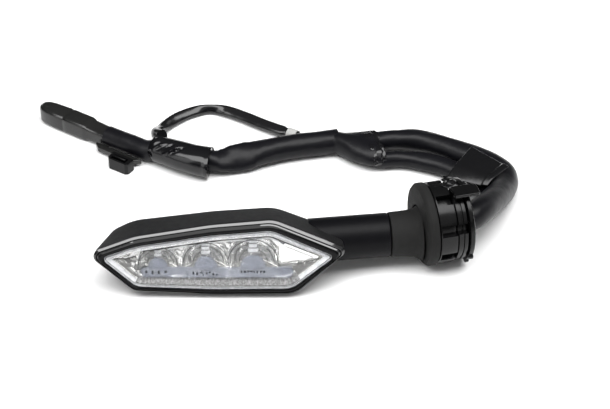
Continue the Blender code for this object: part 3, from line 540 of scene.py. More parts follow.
def build_holder():
    profile = ((11.2, 0.3), (14.4, 0.3), (14.65, 0.5), (14.7, 0.85), (14.7, 1.05), (14.7, 3.4),
               (14.7, 6.1), (14.6, 6.45), (14.3, 6.6), (11.2, 6.6))
    shape = lathe(profile, 720, slotted)
    make_piece("holder_blocks", shape, AXLE_FRAME, HOLDER, "mount",
               ("holder_ring",), 30.0)
    lock_profile = ((9.3, 11.1), (14.5, 11.1), (14.8, 11.25), (14.9, 11.6), (14.9, 12.3),
                    (14.75, 12.7), (14.4, 12.9), (12.2, 12.9), (12.0, 12.7), (11.2, 12.7),
                    (11.0, 12.9), (9.3, 12.9))
    shape = lathe(lock_profile, 144)
    make_piece("lock_ring", shape, AXLE_FRAME, HOLDER, "mount",
               ("end_ring",), 30.0)
    for index, angle in enumerate(TOOTH_ANGLES):
        turn = AXLE_FRAME @ Matrix.Rotation(math.radians(angle), 4, "Z")
        outline = ((14.2, -1.4), (15.6, -0.9), (15.9, 0.1), (15.5, 1.1), (14.2, 1.4))
        shape = prism(outline, 11.3, 12.7)
        tooth = make_piece(f"lock_tooth_{index + 1}", shape, turn, HOLDER, "mount")
        bevel(tooth, 0.18, 2)
    grommet = ((5.6, 14.2), (6.1, 14.05), (6.5, 13.7), (6.8, 13.3), (7.0, 12.9),
               (7.1, 11.0), (7.1, 9.0), (2.5, 9.0), (2.5, 14.2))
    shape = lathe(grommet, 72)
    make_piece("grommet_rubber", shape, AXLE_FRAME, RUBBER, "mount",
               ("cable_grommet",), 50.0)


def build_clip():
    """Open ring with a finger tab; its outer wall has a groove and a notch."""
    steps = 128
    first, last = math.radians(90.0), math.radians(270.0)
    profile = ((11.3, 6.9), (13.9, 6.9), (14.25, 7.1), (14.3, 7.4), (14.3, 8.3), (13.9, 8.5),
               (13.9, 8.9), (14.3, 9.1), (14.3, 10.0), (14.2, 10.35), (13.9, 10.5), (11.3, 10.5))
    rows = []
    for step in range(steps + 1):
        angle = first + (last - first) * step / steps
        notch = NOTCH_DEPTH if abs(math.degrees(angle) - NOTCH_ANGLE) < NOTCH_HALF_ANGLE else 0.0
        section = [(r - notch if r > CLIP_WALL_R else r, along) for r, along in profile]
        rows.append([(r * math.cos(angle), r * math.sin(angle), along) for r, along in section])
    shape = capped(rows)
    make_piece("clip_bow", shape, AXLE_FRAME, HOLDER, "clip",
               ("retaining_clip",), 30.0)
    outline = [(7.0, -7.4)]
    for x, y, radius, start in ((15.2, -6.4, 1.0, -90.0), (14.4, -3.1, 1.8, 0.0)):
        for step in range(6):
            turn = math.radians(start + 18.0 * step)
            outline.append((x + radius * math.cos(turn), y + radius * math.sin(turn)))
    outline += [(7.0, -1.3)]
    shape = prism(outline, 15.2, 16.35)
    tab = make_piece("clip_tab", shape, MOUNT_FRAME, HOLDER, "clip")
    bevel(tab, 0.3, 3)
    shape = block((7.0, -5.0, 12.4), (10.4, -1.7, 15.4))
    post = make_piece("clip_post", shape, MOUNT_FRAME, HOLDER, "clip")
    bevel(post, 0.25, 2)


# ---- stalk ---------------------------------------------------------------------------
def build_stalk():
    profile = ((5.6, 14.55), (7.35, 14.55), (7.7, 14.7), (7.88, 15.0), (7.9, 15.6), (7.9, 22.0),
               (7.9, 43.0), (7.4, 43.5), (5.6, 43.5))
    shape = lathe(profile, 96)
    make_piece("stalk_skin", shape, STALK_FRAME, STALK, "arm",
               ("stalk_tube",), 40.0)


# ---- lamp head ------------------------------------------------------------------------
RIM_CORNERS = (
    (3.0, 1.3, 2.0), (-23.3, 12.3, 10.0), (-45.0, 10.4, 90.0), (-71.3, 6.1, 25.0),
    (-88.5, -0.3, 2.6), (-72.4, -14.2, 7.0), (-45.0, -15.5, 120.0), (-15.6, -15.2, 9.0),
)
# the same corners round the back edge of the housing, and then round the visible lens
BACK_CORNERS = (
    (3.0, 1.8, 2.5), (-23.3, 11.9, 16.0), (-45.0, 10.4, 90.0), (-73.5, 6.9, 20.0),
    (-87.2, 0.2, 6.0), (-72.1, -14.2, 9.0), (-45.0, -15.5, 120.0), (-15.6, -15.2, 11.0),
)
LENS_CORNERS = (
    (-1.7, -1.1, 1.4), (-24.0, 8.7, 9.0), (-45.0, 6.9, 90.0), (-71.6, 2.7, 30.0),
    (-84.0, -1.7, 1.6), (-71.6, -12.6, 6.0), (-45.0, -13.6, 120.0), (-17.0, -13.35, 8.0),
)
CORNER_STEPS = 8
EDGE_STEPS = 8


def mixed(first, second, share):
    """Corners part of the way between two sets of corners."""
    return [tuple(a + (b - a) * share for a, b in zip(p, q)) for p, q in zip(first, second)]


def outline(inset, corners):
    """A rounded outline moved inwards, with the same points for every inset."""
    count = len(corners)
    points = [Vector(corner[:2]) for corner in corners]
    normals = []
    for i in range(count):
        along = (points[(i + 1) % count] - points[i]).normalized()
        normals.append(Vector((-along.y, along.x)))
    arcs = []
    for i in range(count):
        before, after = normals[i - 1], normals[i]
        bisector = (before + after).normalized()
        corner = points[i] + bisector * (inset / bisector.dot(after))
        radius = max(corners[i][2] - inset, 0.4)
        centre = corner + bisector * (radius / bisector.dot(after))
        start = math.atan2(-before.y, -before.x)
        turn = before.angle_signed(after)
        arcs.append([centre + Vector((math.cos(start - turn * s / CORNER_STEPS),
                                      math.sin(start - turn * s / CORNER_STEPS))) * radius
                     for s in range(CORNER_STEPS + 1)])
    ring = []
    for i in range(count):
        ring += arcs[i]
        last, following = arcs[i][-1], arcs[(i + 1) % count][0]
        ring += [last.lerp(following, s / EDGE_STEPS) for s in range(1, EDGE_STEPS)]
    return [(p.x, p.y) for p in ring]


def ring_at(w, inset, corners):
    return [(u, v, w) for u, v in outline(inset, corners)]


def lens_rows(sections):
    """Rings round the lens from (w, inset) rows."""
    return [ring_at(w, inset, LENS_CORNERS) for w, inset in sections]


def build_housing():
    """Deep shell: straight walls that draw in towards a rounded back."""
    back = smooth(((-3.6, 0.12, 1.0, 0.0), (-9.0, 0.12, 0.95, 0.35), (-14.0, 0.2, 0.88, 0.8),
                   (-17.0, 0.5, 0.83, 1.0), (-19.8, 1.6, 0.77, 1.0), (-22.2, 3.2, 0.69, 1.0),
                   (-24.2, 5.2, 0.60, 1.0), (-25.3, 7.4, 0.50, 1.0)), 5)
    lip = ((-7.0, 2.0, 1.0, 0.0), (-2.7, 2.0, 1.0, 0.0), (-2.62, 1.2, 1.0, 0.0),
           (-2.66, 0.55, 1.0, 0.0), (-2.86, 0.26, 1.0, 0.0), (-3.2, 0.14, 1.0, 0.0))
    end = ((-25.42, 8.4, 0.49, 1.0), (-25.45, 9.2, 0.48, 1.0))
    rows = []
    for w, inset, lower, share in (*lip, *back, *end):
        ring = ring_at(w, inset, mixed(RIM_CORNERS, BACK_CORNERS, share))
        rows.append([(u, v * lower if v < 0.0 else v, w) for u, v, w in ring])
    shape = capped(rows, False)
    make_piece("housing_shell", shape, HEAD_FRAME, HOUSING, "arm",
               ("rear_housing",), 45.0)


def rim_rows(section):
    """Rings between the rim and the lens opening from (w, share) rows."""
    return [ring_at(w, 0.0, mixed(RIM_CORNERS, LENS_CORNERS, share)) for w, share in section]


def build_bezel():
    """Glossy rim: a plain black face, and two polished facets with a groove between them."""
    section = ((-2.3, 0.55), (-2.3, 0.02), (-2.2, 0.0), (-1.56, 0.0), (-1.30, 0.12), (-1.30, 0.30),
               (-0.80, 0.46), (-0.44, 0.60), (-0.40, 0.78), (-0.45, 0.93), (-0.62, 1.0), (-1.7, 1.0))
    shape = skin(rim_rows(section), True, True)
    make_piece("bezel_skin", shape, HEAD_FRAME, BEZEL, "arm", ("bezel",), 18.0)
    outer = ((-1.50, -0.005), (-0.92, 0.19), (-0.95, 0.215), (-1.6, 0.20), (-1.6, 0.0))
    inner = ((-1.08, 0.34), (-0.74, 0.44), (-0.76, 0.46), (-1.3, 0.44), (-1.3, 0.34))
    for name, part in (("bezel_edge_outer", outer), ("bezel_edge_inner", inner)):
        rows = rim_rows(part)
        if part is inner:
            rows = [[(u, v, w - 0.35 * min(1.0, max(0.0, (24.0 - abs(u + 50.0)) / 6.0)))
                     if v > 0.0 else (u, v, w) for u, v, w in row] for row in rows]
        shape = skin(rows, True, True)
        make_piece(name, shape, HEAD_FRAME, BEZEL_EDGE, "arm", (), 18.0)


def build_lens():
    """Clear cover: a shallow cup with a thin crowned front."""
    outer = ((-6.0, 0.1), (-1.3, 0.1), (-0.95, 0.16), (-0.74, 0.4), (-0.64, 0.9), (-0.48, 2.5),
             (-0.34, 5.0), (-0.26, 8.2))
    inner = ((-1.6, 8.2), (-1.7, 5.0), (-1.85, 2.2), (-2.1, 1.6), (-2.6, 1.42), (-6.0, 1.4))
    rows = lens_rows(outer)
    verts, faces = capped(rows, False)
    back_rows = lens_rows(inner)
    count = len(rows[0])
    base = len(verts)
    more, more_faces = skin(back_rows, True, False, True, False)
    verts += more
    faces += [tuple(base + i for i in face) for face in more_faces]
    foot = base + (len(back_rows) - 1) * count
    faces += [(k, (k + 1) % count, foot + (k + 1) % count, foot + k) for k in range(count)]
    make_piece("lens_cover", (verts, faces), HEAD_FRAME, LENS, "arm",
               ("outer_lens",), 40.0)
    # Painted highlight: two light, opaque strips round the inside of the rim stand for the bright
    # reflections along the lens edge.
    line = ((-1.5, 0.14), (-1.28, 0.18), (-1.22, 0.46), (-1.6, 0.52), (-1.9, 0.5), (-1.9, 0.14))
    band = ((-1.42, 0.80), (-1.38, 0.92), (-2.15, 1.86), (-2.3, 1.9), (-2.5, 1.86), (-2.5, 0.80))
    for name, part in (("lens_highlight_line", line), ("lens_highlight_band", band)):
        shape = skin(lens_rows(part), True, True)
        make_piece(name, shape, HEAD_FRAME, LENS_HIGHLIGHT, "arm", (), 25.0)


BOWLS = ((-63.9, -4.6, 6.9), (-47.2, -4.2, 8.1), (-30.6, -3.9, 9.0))  # u, v, radius
BOWL_TOPS = (3.2, 5.9, 7.9)  # v of the lens's upper edge over each bowl
GUIDE_MARKS = ((4, 2.3, 1.2), (8, 1.15, 0.8), (8, 1.1, 0.8))  # count, spacing, size
DOME_SHARE = 0.50
TRAY = -4.4
BOWL_DEPTH = 5.6
BOWL_RINGS = (0.0, 0.34, 0.50, 0.63, 0.76, 0.90, 1.0)
BOWL_SECTORS = 12
TOP_SECTOR = 3


def facet(kind, bowl, ring, sector):
    """A facet's own share, from -1 to 1."""
    return noise.cell(Vector((ring * 1.7 + 31.0 * bowl, sector * 2.3 + 0.5, kind * 9.1)))


def bowl_height(bowl, radius, du, dv):
    """Depth in a bowl: stepped rings of flat facets, with a column of steps at the top."""
    r = math.hypot(du, dv)
    share = r / radius
    ring = sum(1 for start in BOWL_RINGS[1:-1] if share >= start)
    middle = (BOWL_RINGS[ring] + BOWL_RINGS[ring + 1]) / 2
    place = (math.atan2(dv, du) / math.tau * BOWL_SECTORS + 0.5) % BOWL_SECTORS
    sector = int(place)
    radial = 0.45 * middle + 0.42 * facet(0, bowl, ring, sector)
    sideways = 0.36 * facet(1, bowl, ring, sector)
    if sector == TOP_SECTOR:
        radial, sideways = (0.16, 0.55)[ring % 2], 0.0
    w = TRAY - BOWL_DEPTH * (1.0 - middle * middle)
    w += (share - middle) * radius * radial
    w += (place - sector - 0.5) / BOWL_SECTORS * math.tau * r * sideways
    return w


def tray_height(u, v):
    """Depth of the chromed tray: three faceted bowls, a ridge and two end facets."""
    w = TRAY
    if v < -4.8:
        w -= 0.16 * (v + 4.8)
    if u < -71.5:
        w += 0.22 * (-2.0 - v) if v < -2.0 else 0.10 * (v + 2.0)
    if u > -21.5:
        if v > -4.4 + (u + 21.5) * 0.16:
            w += 1.1 + (v + 4.4) * 0.10
        elif u > -15.0:
            w -= 0.8 - (u + 15.0) * 0.10
    for bowl, (cu, cv, radius) in enumerate(BOWLS):
        du, dv = u - cu, v - cv
        r = math.hypot(du, dv)
        if r < radius and v > -5.4:
            return bowl_height(bowl, radius, du, dv)
        if r < radius + 0.8:
            w += 0.5 * (1.0 - abs(r - radius - 0.4) / 0.4)
        elif v > -5.0 and u < -21.5:
            cell = noise.cell(Vector((u * 0.45, v * 0.6 + u * 0.25, 4.0 + bowl)))
            w += 0.10 * cell
    if -72.0 < u < -12.0:
        w += 0.9 * math.exp(-((v + 5.2) / 0.38) ** 2)
    return w


def inside(ring, u, v):
    hit = False
    for (u0, v0), (u1, v1) in zip(ring, ring[1:] + ring[:1]):
        if (v0 > v) != (v1 > v) and u < (u1 - u0) * (v - v0) / (v1 - v0) + u0:
            hit = not hit
    return hit


def build_reflector():
    pitch = 0.34
    limit = outline(3.3, LENS_CORNERS)
    low_u, high_u = min(p[0] for p in limit), max(p[0] for p in limit)
    low_v, high_v = min(p[1] for p in limit), max(p[1] for p in limit)
    columns = int((high_u - low_u) / pitch) + 2
    lines = int((high_v - low_v) / pitch) + 2
    index, verts, faces = {}, [], []
    for j in range(lines):
        for i in range(columns):
            u, v = low_u + i * pitch, low_v + j * pitch
            if inside(limit, u, v):
                index[i, j] = len(verts)
                verts.append((u, v, tray_height(u, v) - 0.03))
    for i, j in index:
        cell = [(i, j), (i + 1, j), (i + 1, j + 1), (i, j + 1)]
        if all(c in index for c in cell):
            faces.append(tuple(index[c] for c in cell))
    rows = []
    for step, (w, inset) in enumerate(((-2.3, 1.9), (-2.9, 2.1), (-3.6, 2.4), (-4.1, 2.7),
                                       (-4.4, 3.1), (-4.4, 3.6), (-4.4, 4.1))):
        rows.append([(u, v, w if step < 4 else tray_height(u, v) - 0.02 * (step - 4))
                     for u, v in outline(inset, LENS_CORNERS)])
    base = len(verts)
    more, more_faces = skin(rows)
    verts += more
    faces += [tuple(base + k for k in face) for face in more_faces]
    obj = make_piece("reflector_skin", (verts, faces), HEAD_FRAME, CHROME, "arm",
                     ("reflector",), 50.0)
    obj.modifiers.new("wall", "SOLIDIFY").thickness = 0.3 * MM


def thin_rib(name, points, radius, mat):
    """A fine raised line in the head's frame."""
    path = even([HEAD_FRAME @ Vector(p) for p in points], 0.7)
    shape = capped(sweep_rows(path, ((0.0, radius, radius, 0.0, 0.0),), 8))
    make_piece(name, shape, ROW_FRAME, mat, "arm")


def upper_ribs():
    """Thin parallel ribs that run under the upper edge of the lens; the outer two are light lines of
    painted highlight, the middle one a dark line of painted shade.
    """
    for number, (inset, w, radius) in enumerate(((2.3, -2.4, 0.16), (2.95, -2.9, 0.20),
                                                 (3.7, -3.4, 0.16))):
        ring = [p for p in outline(inset, LENS_CORNERS) if p[1] > 0.0 and -78.0 < p[0] < -10.0]
        ring.sort(key=lambda p: p[0])
        thin_rib(f"lens_rib_{number + 1}", [(u, v, w) for u, v in ring], radius,
                 STEP_SHADE if number == 1 else LENS_HIGHLIGHT)


def bowl_details():
    """Dark ribs of painted shade along the step edges round each bowl, its column of steps in a light
    colour of painted highlight, and the end facets.
    """
    for number, (cu, cv, radius) in enumerate(BOWLS):
        top = BOWL_TOPS[number]
        for ring, (share, start, end) in enumerate(((0.98, -4, 184), (0.80, 6, 150), (0.55, -2, 182))):
            arc = [(cu + radius * share * math.cos(math.radians(d)),
                    cv - 0.6 + radius * share * math.sin(math.radians(d)), -3.3 - 0.5 * ring)
                   for d in range(start, end, 4)]
            arc = [p for p in arc if p[1] < top]
            # Painted shade: a dark rib along each step edge.
            thin_rib(f"bowl_edge_{number + 1}_{ring + 1}", arc, 0.15 - 0.02 * ring, STEP_SHADE)
        for step, (share, wide, high) in enumerate(((0.84, 0.40, 0.10), (0.66, 0.36, 0.13),
                                                    (0.46, 0.42, 0.12))):
            v = cv - 0.6 + radius * share
            half, deep = radius * wide / 2, radius * high
            if v + deep > top:
                continue
            foot = half * 0.8
            corners = ((cu - half, v + deep), (cu + half, v + deep), (cu + foot, v), (cu - foot, v))
            shape = prism(corners, -4.2, -3.5)
            # Painted highlight: each step is a light, opaque prism standing for a bright reflection in
            # the chrome.
            bevel(make_piece(f"bowl_step_{number + 1}_{step + 1}", shape, HEAD_FRAME,
                             LENS_HIGHLIGHT, "arm"), 0.15, 2)
    right = ((-21.8, -5.2, -2.9), (-14.0, -4.1, -2.9), (-6.2, -2.2, -2.6))
    left = ((-79.5, -2.5, -2.9), (-75.0, -2.7, -2.9), (-71.6, -1.6, -2.9))
    # Painted shade: dark ribs along the two ends of the tray.
    thin_rib("end_line_right", right, 0.15, STEP_SHADE)
    thin_rib("end_line_left", left, 0.22, STEP_SHADE)
    facets = (((-17.0, -5.6), (-8.6, -3.9), (-10.6, -6.2), (-15.0, -9.0)),
              ((-79.6, -4.0), (-73.6, -4.6), (-71.4, -6.4), (-71.6, -10.4), (-73.4, -9.9)))
    for number, corners in enumerate(facets):
        shape = prism(corners, -3.6, -3.1)
        bevel(make_piece(f"end_facet_{number + 1}", shape, HEAD_FRAME, GREY_FACET, "arm"), 0.15, 2)


def build_guide():
    """Frosted strip with a crowned half dome in front of each bowl."""
    foot, shelf, back, front = -9.6, -5.8, -3.6, -2.2
    strip = [(-70.0, shelf), (-69.6, foot + 0.8), (-68.6, foot), (-18.6, foot)]
    for degrees in range(-75, 90, 15):
        a = math.radians(degrees)
        strip.append((-18.6 + 2.0 * math.cos(a), -7.8 + 2.0 * math.sin(a)))
    strip.append((-18.6, shelf))
    shape = prism(strip, back, front)
    bar = make_piece("guide_strip", shape, HEAD_FRAME, FROST, "arm",
                     ("light_guide",))
    bevel(bar, 0.45, 3)
    for number, (cu, _cv, radius) in enumerate(BOWLS):
        dome = radius * DOME_SHARE
        rows = []
        for step in range(9):
            lift = math.pi / 2 * step / 8
            size = dome * math.cos(lift)
            w = -3.2 + 1.5 * math.sin(lift)
            rows.append([(cu + size * math.cos(math.pi * k / 28),
                          shelf - 0.1 + size * math.sin(math.pi * k / 28), w)
                         for k in range(29)])
        rows.insert(0, [(u, v, back) for u, v, _w in rows[0]])
        shape = skin(rows, False, False)
        dome_piece = make_piece(f"guide_dome_{number + 1}", shape, HEAD_FRAME, FROST, "arm",
                                (), 50.0)
        dome_piece.modifiers.new("wall", "SOLIDIFY").thickness = 0.5 * MM
        count, spacing, size = GUIDE_MARKS[number]
        for mark in range(count):
            wide, high = size * (0.5 + random.random() * 0.5), size * (0.7 + random.random() * 0.7)
            u = cu + (mark - count / 2) * spacing + random.random() * 0.3
            top = -6.8 - (random.random() * 1.6 if number == 1 else 0.0)
            shape = block((u, top - high, -2.3), (u + wide, top, -2.12))
            bevel(make_piece(f"guide_mark_{number + 1}_{mark + 1}", shape, HEAD_FRAME,
                             MARK, "arm"), 0.08, 2)


def build_frosted_band():
    """Sloping frosted wall along the bottom of the tray."""
    near, far = outline(1.0, LENS_CORNERS), outline(3.5, LENS_CORNERS)
    pairs = [(a, b) for a, b in zip(near, far) if a[1] < -9.0 and -72.0 < a[0] < -14.0]
    pairs.sort(key=lambda pair: pair[0][0])
    rows = []
    for (u0, v0), (u1, v1) in pairs:
        rows.append([(u0 + (u1 - u0) * k / 6, v0 + (v1 - v0) * k / 6, -1.5 - 2.2 * k / 6)
                     for k in range(7)])
    shape = skin(rows, False)
    band = make_piece("frosted_wall", shape, HEAD_FRAME, FROST_BAND, "arm")
    band.modifiers.new("wall", "SOLIDIFY").thickness = 0.3 * MM


# ---- harness ---------------------------------------------------------------------------
MAIN_ROUTE = (
    (12.0, -1.4, 0.1), (14.8, -0.8, 0.1), (17.9, 0.9, 0.0), (21.7, 4.1, -0.8), (25.8, 8.6, -2.6),
    (30.9, 14.8, -5.4), (36.0, 21.8, -8.2), (39.8, 28.4, -9.7), (40.6, 34.0, -9.9),
    (38.6, 39.2, -9.9), (35.2, 44.2, -9.9), (30.6, 49.4, -9.9), (25.8, 54.4, -9.9),
    (20.3, 59.4, -9.9), (13.8, 63.2, -9.9), (7.2, 64.9, -9.9), (2.6, 65.4, -9.9),
    (-1.1, 65.6, -9.9), (-7.0, 66.8, -9.9),
)
BRANCH_ROUTE = (
    (32.0, 34.9, -11.2), (28.6, 37.0, -11.2), (24.5, 41.2, -11.2), (19.6, 46.4, -11.2),
    (13.2, 50.8, -11.2), (6.0, 53.8, -11.2), (2.0, 54.6, -11.2), (-1.0, 55.0, -11.1),
    (-5.0, 57.6, -10.9), (-9.0, 61.6, -10.6), (-13.0, 66.4, -10.3),
)
SLEEVE_ROUTE = (
    (-14.6, 69.9, -10.2), (-22.7, 70.2, -10.2), (-30.6, 70.6, -10.2),
    (-38.7, 70.3, -10.2), (-46.1, 69.6, -10.2), (-53.5, 68.6, -10.2), (-60.0, 68.2, -10.2),
    (-64.6, 69.0, -10.2), (-71.4, 71.2, -9.7), (-78.6, 76.2, -9.7), (-84.6, 80.8, -10.4),
    (-88.6, 83.2, -10.9), (-92.6, 87.4, -10.9), (-99.3, 94.3, -10.9), (-101.2, 96.3, -10.9),
)
WRAP_ROUTE = (
    (-66.2, 67.2, -9.5), (-72.4, 70.8, -9.3), (-78.6, 76.0, -9.3), (-85.4, 82.0, -9.5),
)
LOOP_ROUTE = (
    (-81.6, 84.6, -6.2), (-83.2, 89.6, -8.4), (-81.2, 94.9, -11.2), (-77.8, 99.9, -12.6),
    (-71.6, 104.3, -12.6), (-64.8, 107.0, -12.6), (-58.6, 107.3, -12.7), (-52.4, 104.3, -12.6),
    (-46.3, 98.5, -12.5), (-40.7, 92.1, -12.4), (-35.4, 86.4, -12.2), (-31.2, 82.4, -12.2),
    (-27.6, 78.6, -12.2),
)


def in_row(points):
    """A route in the mount's millimetres, as points in the part's own frame."""
    return [MOUNT_FRAME @ Vector(p) for p in points]


LEAD_RADII = {
    "main_lead": (
        (0.0, 4.6, 4.6, 0.0, 0.0), (6.0, 4.95, 4.95, 0.0, 0.0), (45.0, 4.95, 4.95, 0.0, 0.0),
        (66.0, 5.2, 4.5, -14.0, 0.1), (76.0, 4.9, 4.2, -34.0, 0.1), (88.0, 4.4, 4.2, -10.0, 0.2),
        (96.0, 3.9, 3.8, 0.0, 0.1), (103.0, 3.9, 3.8, 0.0, 0.1), (116.0, 4.6, 4.2, 0.0, 0.1),
    ),
    "branch_lead": (
        (0.0, 3.7, 3.6, 0.0, 0.0), (22.0, 3.9, 3.5, 0.0, 0.1), (31.0, 3.0, 3.1, 0.0, 0.0),
        (38.0, 3.0, 3.1, 0.0, 0.0), (46.0, 3.6, 3.6, 0.0, 0.0), (56.0, 2.9, 3.0, 0.0, 0.0),
    ),
}


def build_leads():
    """The main lead and its branch, each in a slightly wrinkled sleeve."""
    leads = (("main_lead", MAIN_ROUTE, 10.0, (44, 0.10, 0.05, 3.0)),
             ("branch_lead", BRANCH_ROUTE, 7.5, (36, 0.12, 0.06, 9.0)))
    for node, way, diameter, surface in leads:
        points = in_row(route(way))
        shape = capped(sweep_rows(points, LEAD_RADII[node], *surface))
        lead = make_piece(f"{node}_sleeve", shape, ROW_FRAME, SLEEVE, "mount",
                          (node,), 60.0)


LEAD_HEIGHT = -10.0
JUNCTION = smooth((  # x, centre y, half width, half height
    (-20.0, 69.5, 3.2, 3.2), (-17.0, 69.0, 4.2, 4.1), (-14.7, 67.6, 5.8, 4.6),
    (-12.2, 65.4, 7.1, 4.7), (-9.5, 63.7, 8.2, 4.8), (-6.6, 62.3, 9.4, 4.8),
    (-3.5, 61.8, 9.8, 4.8), (0.0, 61.4, 9.9, 4.7),
), 6)


def junction_rows(start, end, count, grow, crease, pinch):
    """Rings of the fork's cover between two places; crease and pinch shape its skin."""
    rows = []
    for i in range(count + 1):
        x = start + (end - start) * i / count
        centre, half_width, half_height = between(JUNCTION, x)
        row = []
        for k in range(64):
            angle = math.tau * k / 64
            cos, sin = math.cos(angle), math.sin(angle)
            dip = pinch * max(0.0, (x + 9.0) / 9.0)
            height = half_height * (1.0 - dip * math.exp(-((cos + 0.05) / 0.28) ** 2))
            fold = noise.noise(Vector((cos * 3.0 + x * 0.12, sin * 2.4, x * 0.30)))
            push = 1.0 + 0.03 * noise.noise(Vector((cos * 1.4, sin * 1.4, x * 0.2 + 5.0)))
            push -= crease * max(0.0, 1.0 - abs(fold) * 6.0)
            row.append((x, centre + (half_width + grow) * cos * push,
                        LEAD_HEIGHT + (height + grow) * sin * push))
        rows.append(row)
    return rows


def build_junction():
    """Satin cover over the fork, with a creased band of tape at its mouth."""
    shape = capped(junction_rows(-20.0, -2.0, 40, 0.0, 0.0, 0.30))
    make_piece("junction_cover", shape, MOUNT_FRAME, SLEEVE, "mount",
               ("junction_tape",), 50.0)
    shape = capped(junction_rows(-5.2, 0.0, 16, 0.15, 0.07, 0.40))
    make_piece("junction_band", shape, MOUNT_FRAME, TAPE, "mount", (), 20.0)


def build_sleeve():
    points = in_row(route(SLEEVE_ROUTE))
    total = run_length(points)
    table = ((0.0, 4.95, 4.8, 0.0, 0.0), (24.0, 4.9, 4.8, 0.0, 0.0), (30.0, 5.2, 4.75, 0.0, 0.05),
             (34.0, 5.5, 4.4, 12.0, 0.1), (36.5, 5.9, 3.7, 26.0, 0.1), (42.0, 5.6, 3.1, 40.0, 0.1),
             (46.5, 5.0, 2.8, 22.0, 0.1), (49.5, 4.3, 3.7, 6.0, 0.1), (52.5, 4.1, 4.4, 0.0, 0.1),
             (58.0, 4.4, 4.4, 0.0, 0.0),
             (70.0, 4.4, 4.2, 0.0, 0.0), (total - 15.0, 4.0, 4.0, 0.0, 0.0),
             (total, 4.0, 3.9, 0.0, 0.0))
    rows = lipped(sweep_rows(points, table, 44, 0.10, 0.10, 1.0), True, False)
    shape = capped(rows)
    sleeve = make_piece("harness_sleeve", shape, ROW_FRAME, SLEEVE, "mount",
                        ("sleeve", "tail_tube"), 40.0)
    return sleeve, points


WRAP_CREASES = (  # share of the length, degrees round, half length, spread in degrees, depth
    (0.48, 118.0, 0.050, 8.0, 0.55), (0.575, 128.0, 0.045, 9.0, -0.6), (0.66, 116.0, 0.050, 8.0, 0.6),
    (0.755, 124.0, 0.050, 8.0, 0.5), (0.86, 120.0, 0.06, 9.0, 0.4),
)


def build_tape_wrap():
    """Shiny tape, pulled tight over the bundle, with a blunt slanted end."""
    points = in_row(route(WRAP_ROUTE, 0.5))
    total = run_length(points)
    table = ((0.0, 7.0, 5.3, 0.0, 0.10), (2.0, 6.5, 5.4, 0.0, 0.1), (10.0, 6.1, 5.5, 0.0, 0.0),
             (total - 2.5, 5.4, 5.3, 0.0, 0.0), (total, 4.5, 4.5, 0.0, 0.0))
    rows = sweep_rows(points, table, 96, 0.10, 0.0, 21.0)
    count = len(rows)
    creased = []
    for i, row in enumerate(rows):
        share = i / (count - 1)
        middle = centre_of(row)
        new_row = []
        for k, p in enumerate(row):
            around = math.degrees(math.tau * k / len(row))
            depth = 0.0
            for at, turn, wide, spread, deep in WRAP_CREASES:
                gap = abs(share - at - (around - turn) * 0.004) / wide
                fade = max(0.0, 1.0 - (abs(around - turn) / (3.2 * spread)) ** 2)
                depth += deep * max(0.0, 1.0 - gap) * fade
            new_row.append(p + (middle - p).normalized() * depth)
        if i == 0:
            slant = Vector((0.35, -0.85, 0.0)).normalized()
            new_row = [p + (p - middle).dot(slant) * Vector((0.20, -0.06, 0.0)) for p in new_row]
        creased.append(new_row)
    middle = centre_of(creased[0])
    creased.insert(0, [p.lerp(middle, 0.12) for p in creased[0]])
    shape = capped(creased)
    return make_piece("tape_wrap_skin", shape, ROW_FRAME, TAPE, "mount",
                      ("tape_wrap",), 24.0)


def build_loop():
    points = in_row(route(LOOP_ROUTE))
    total = run_length(points)
    table = ((0.0, 2.3, 2.5, 0.0, 0.1), (7.0, 1.9, 2.4, 6.0, 0.2), (16.0, 1.7, 2.1, 30.0, 0.4),
             (24.0, 1.2, 2.3, 52.0, 0.4), (33.0, 1.1, 2.1, 58.0, 0.4), (40.0, 0.9, 1.9, 22.0, 0.4),
             (48.0, 1.2, 2.3, 62.0, 0.4), (75.0, 1.3, 2.3, 70.0, 0.4), (total - 8.0, 1.5, 1.9, 60.0, 0.2),
             (total, 1.8, 1.8, 60.0, 0.0))
    shape = capped(sweep_rows(points, table, 28, 0.04, 0.02, 5.0))
    loop = make_piece("loop_lead_flat", shape, ROW_FRAME, TAPE_LEAD, "mount",
                      ("loop_lead",), 50.0)
    run, index = 0.0, len(points) - 1
    while run < 3.9:
        run += (points[index] - points[index - 1]).length
        index -= 1
    band_points = points[index - 2:index + 4]
    rows = lipped(sweep_rows(band_points, ((0.0, 2.35, 2.25, 60.0, 0.1),), 32, 0.06, 0.0, 8.0),
                  True, True, 0.3, 0.4)
    shape = capped(rows)
    band = make_piece("white_tape_band", shape, ROW_FRAME, WHITE_TAPE, "mount",
                      ("white_tape",), 40.0)


FLAG_CORNERS = ((16.2, 28.7), (29.2, 19.4), (40.1, 27.1), (30.8, 43.2))
FLAG_HEIGHT = -1.75


def build_flag():
    """Stiff folded tape over the fork, with a turned border along one edge."""
    left_low, right_low, right_high, left_high = (Vector(corner) for corner in FLAG_CORNERS)
    count = 22
    rows = []
    for i in range(count + 1):
        share = i / count
        row = []
        for k in range(count + 1):
            across = k / count
            p = left_low.lerp(left_high, share).lerp(right_low.lerp(right_high, share), across)
            drop = 2.6 * max(0.0, 0.30 - share) ** 1.5 * 4.0
            sag = 0.25 * math.sin(across * math.pi) * math.sin(share * 3.0)
            border = 0.55 if across > 0.84 else 0.0
            row.append((p.x, p.y, FLAG_HEIGHT - drop + sag + border))
        rows.append(row)
    shape = skin(rows, False)
    flag = make_piece("tape_flag_sheet", shape, MOUNT_FRAME, FLAG, "mount",
                      ("tape_flag",), 24.0)
    wall = flag.modifiers.new("wall", "SOLIDIFY")
    wall.thickness = 0.55 * MM
    wall.offset = -1.0
    bevel(flag, 0.25, 2, 50.0)


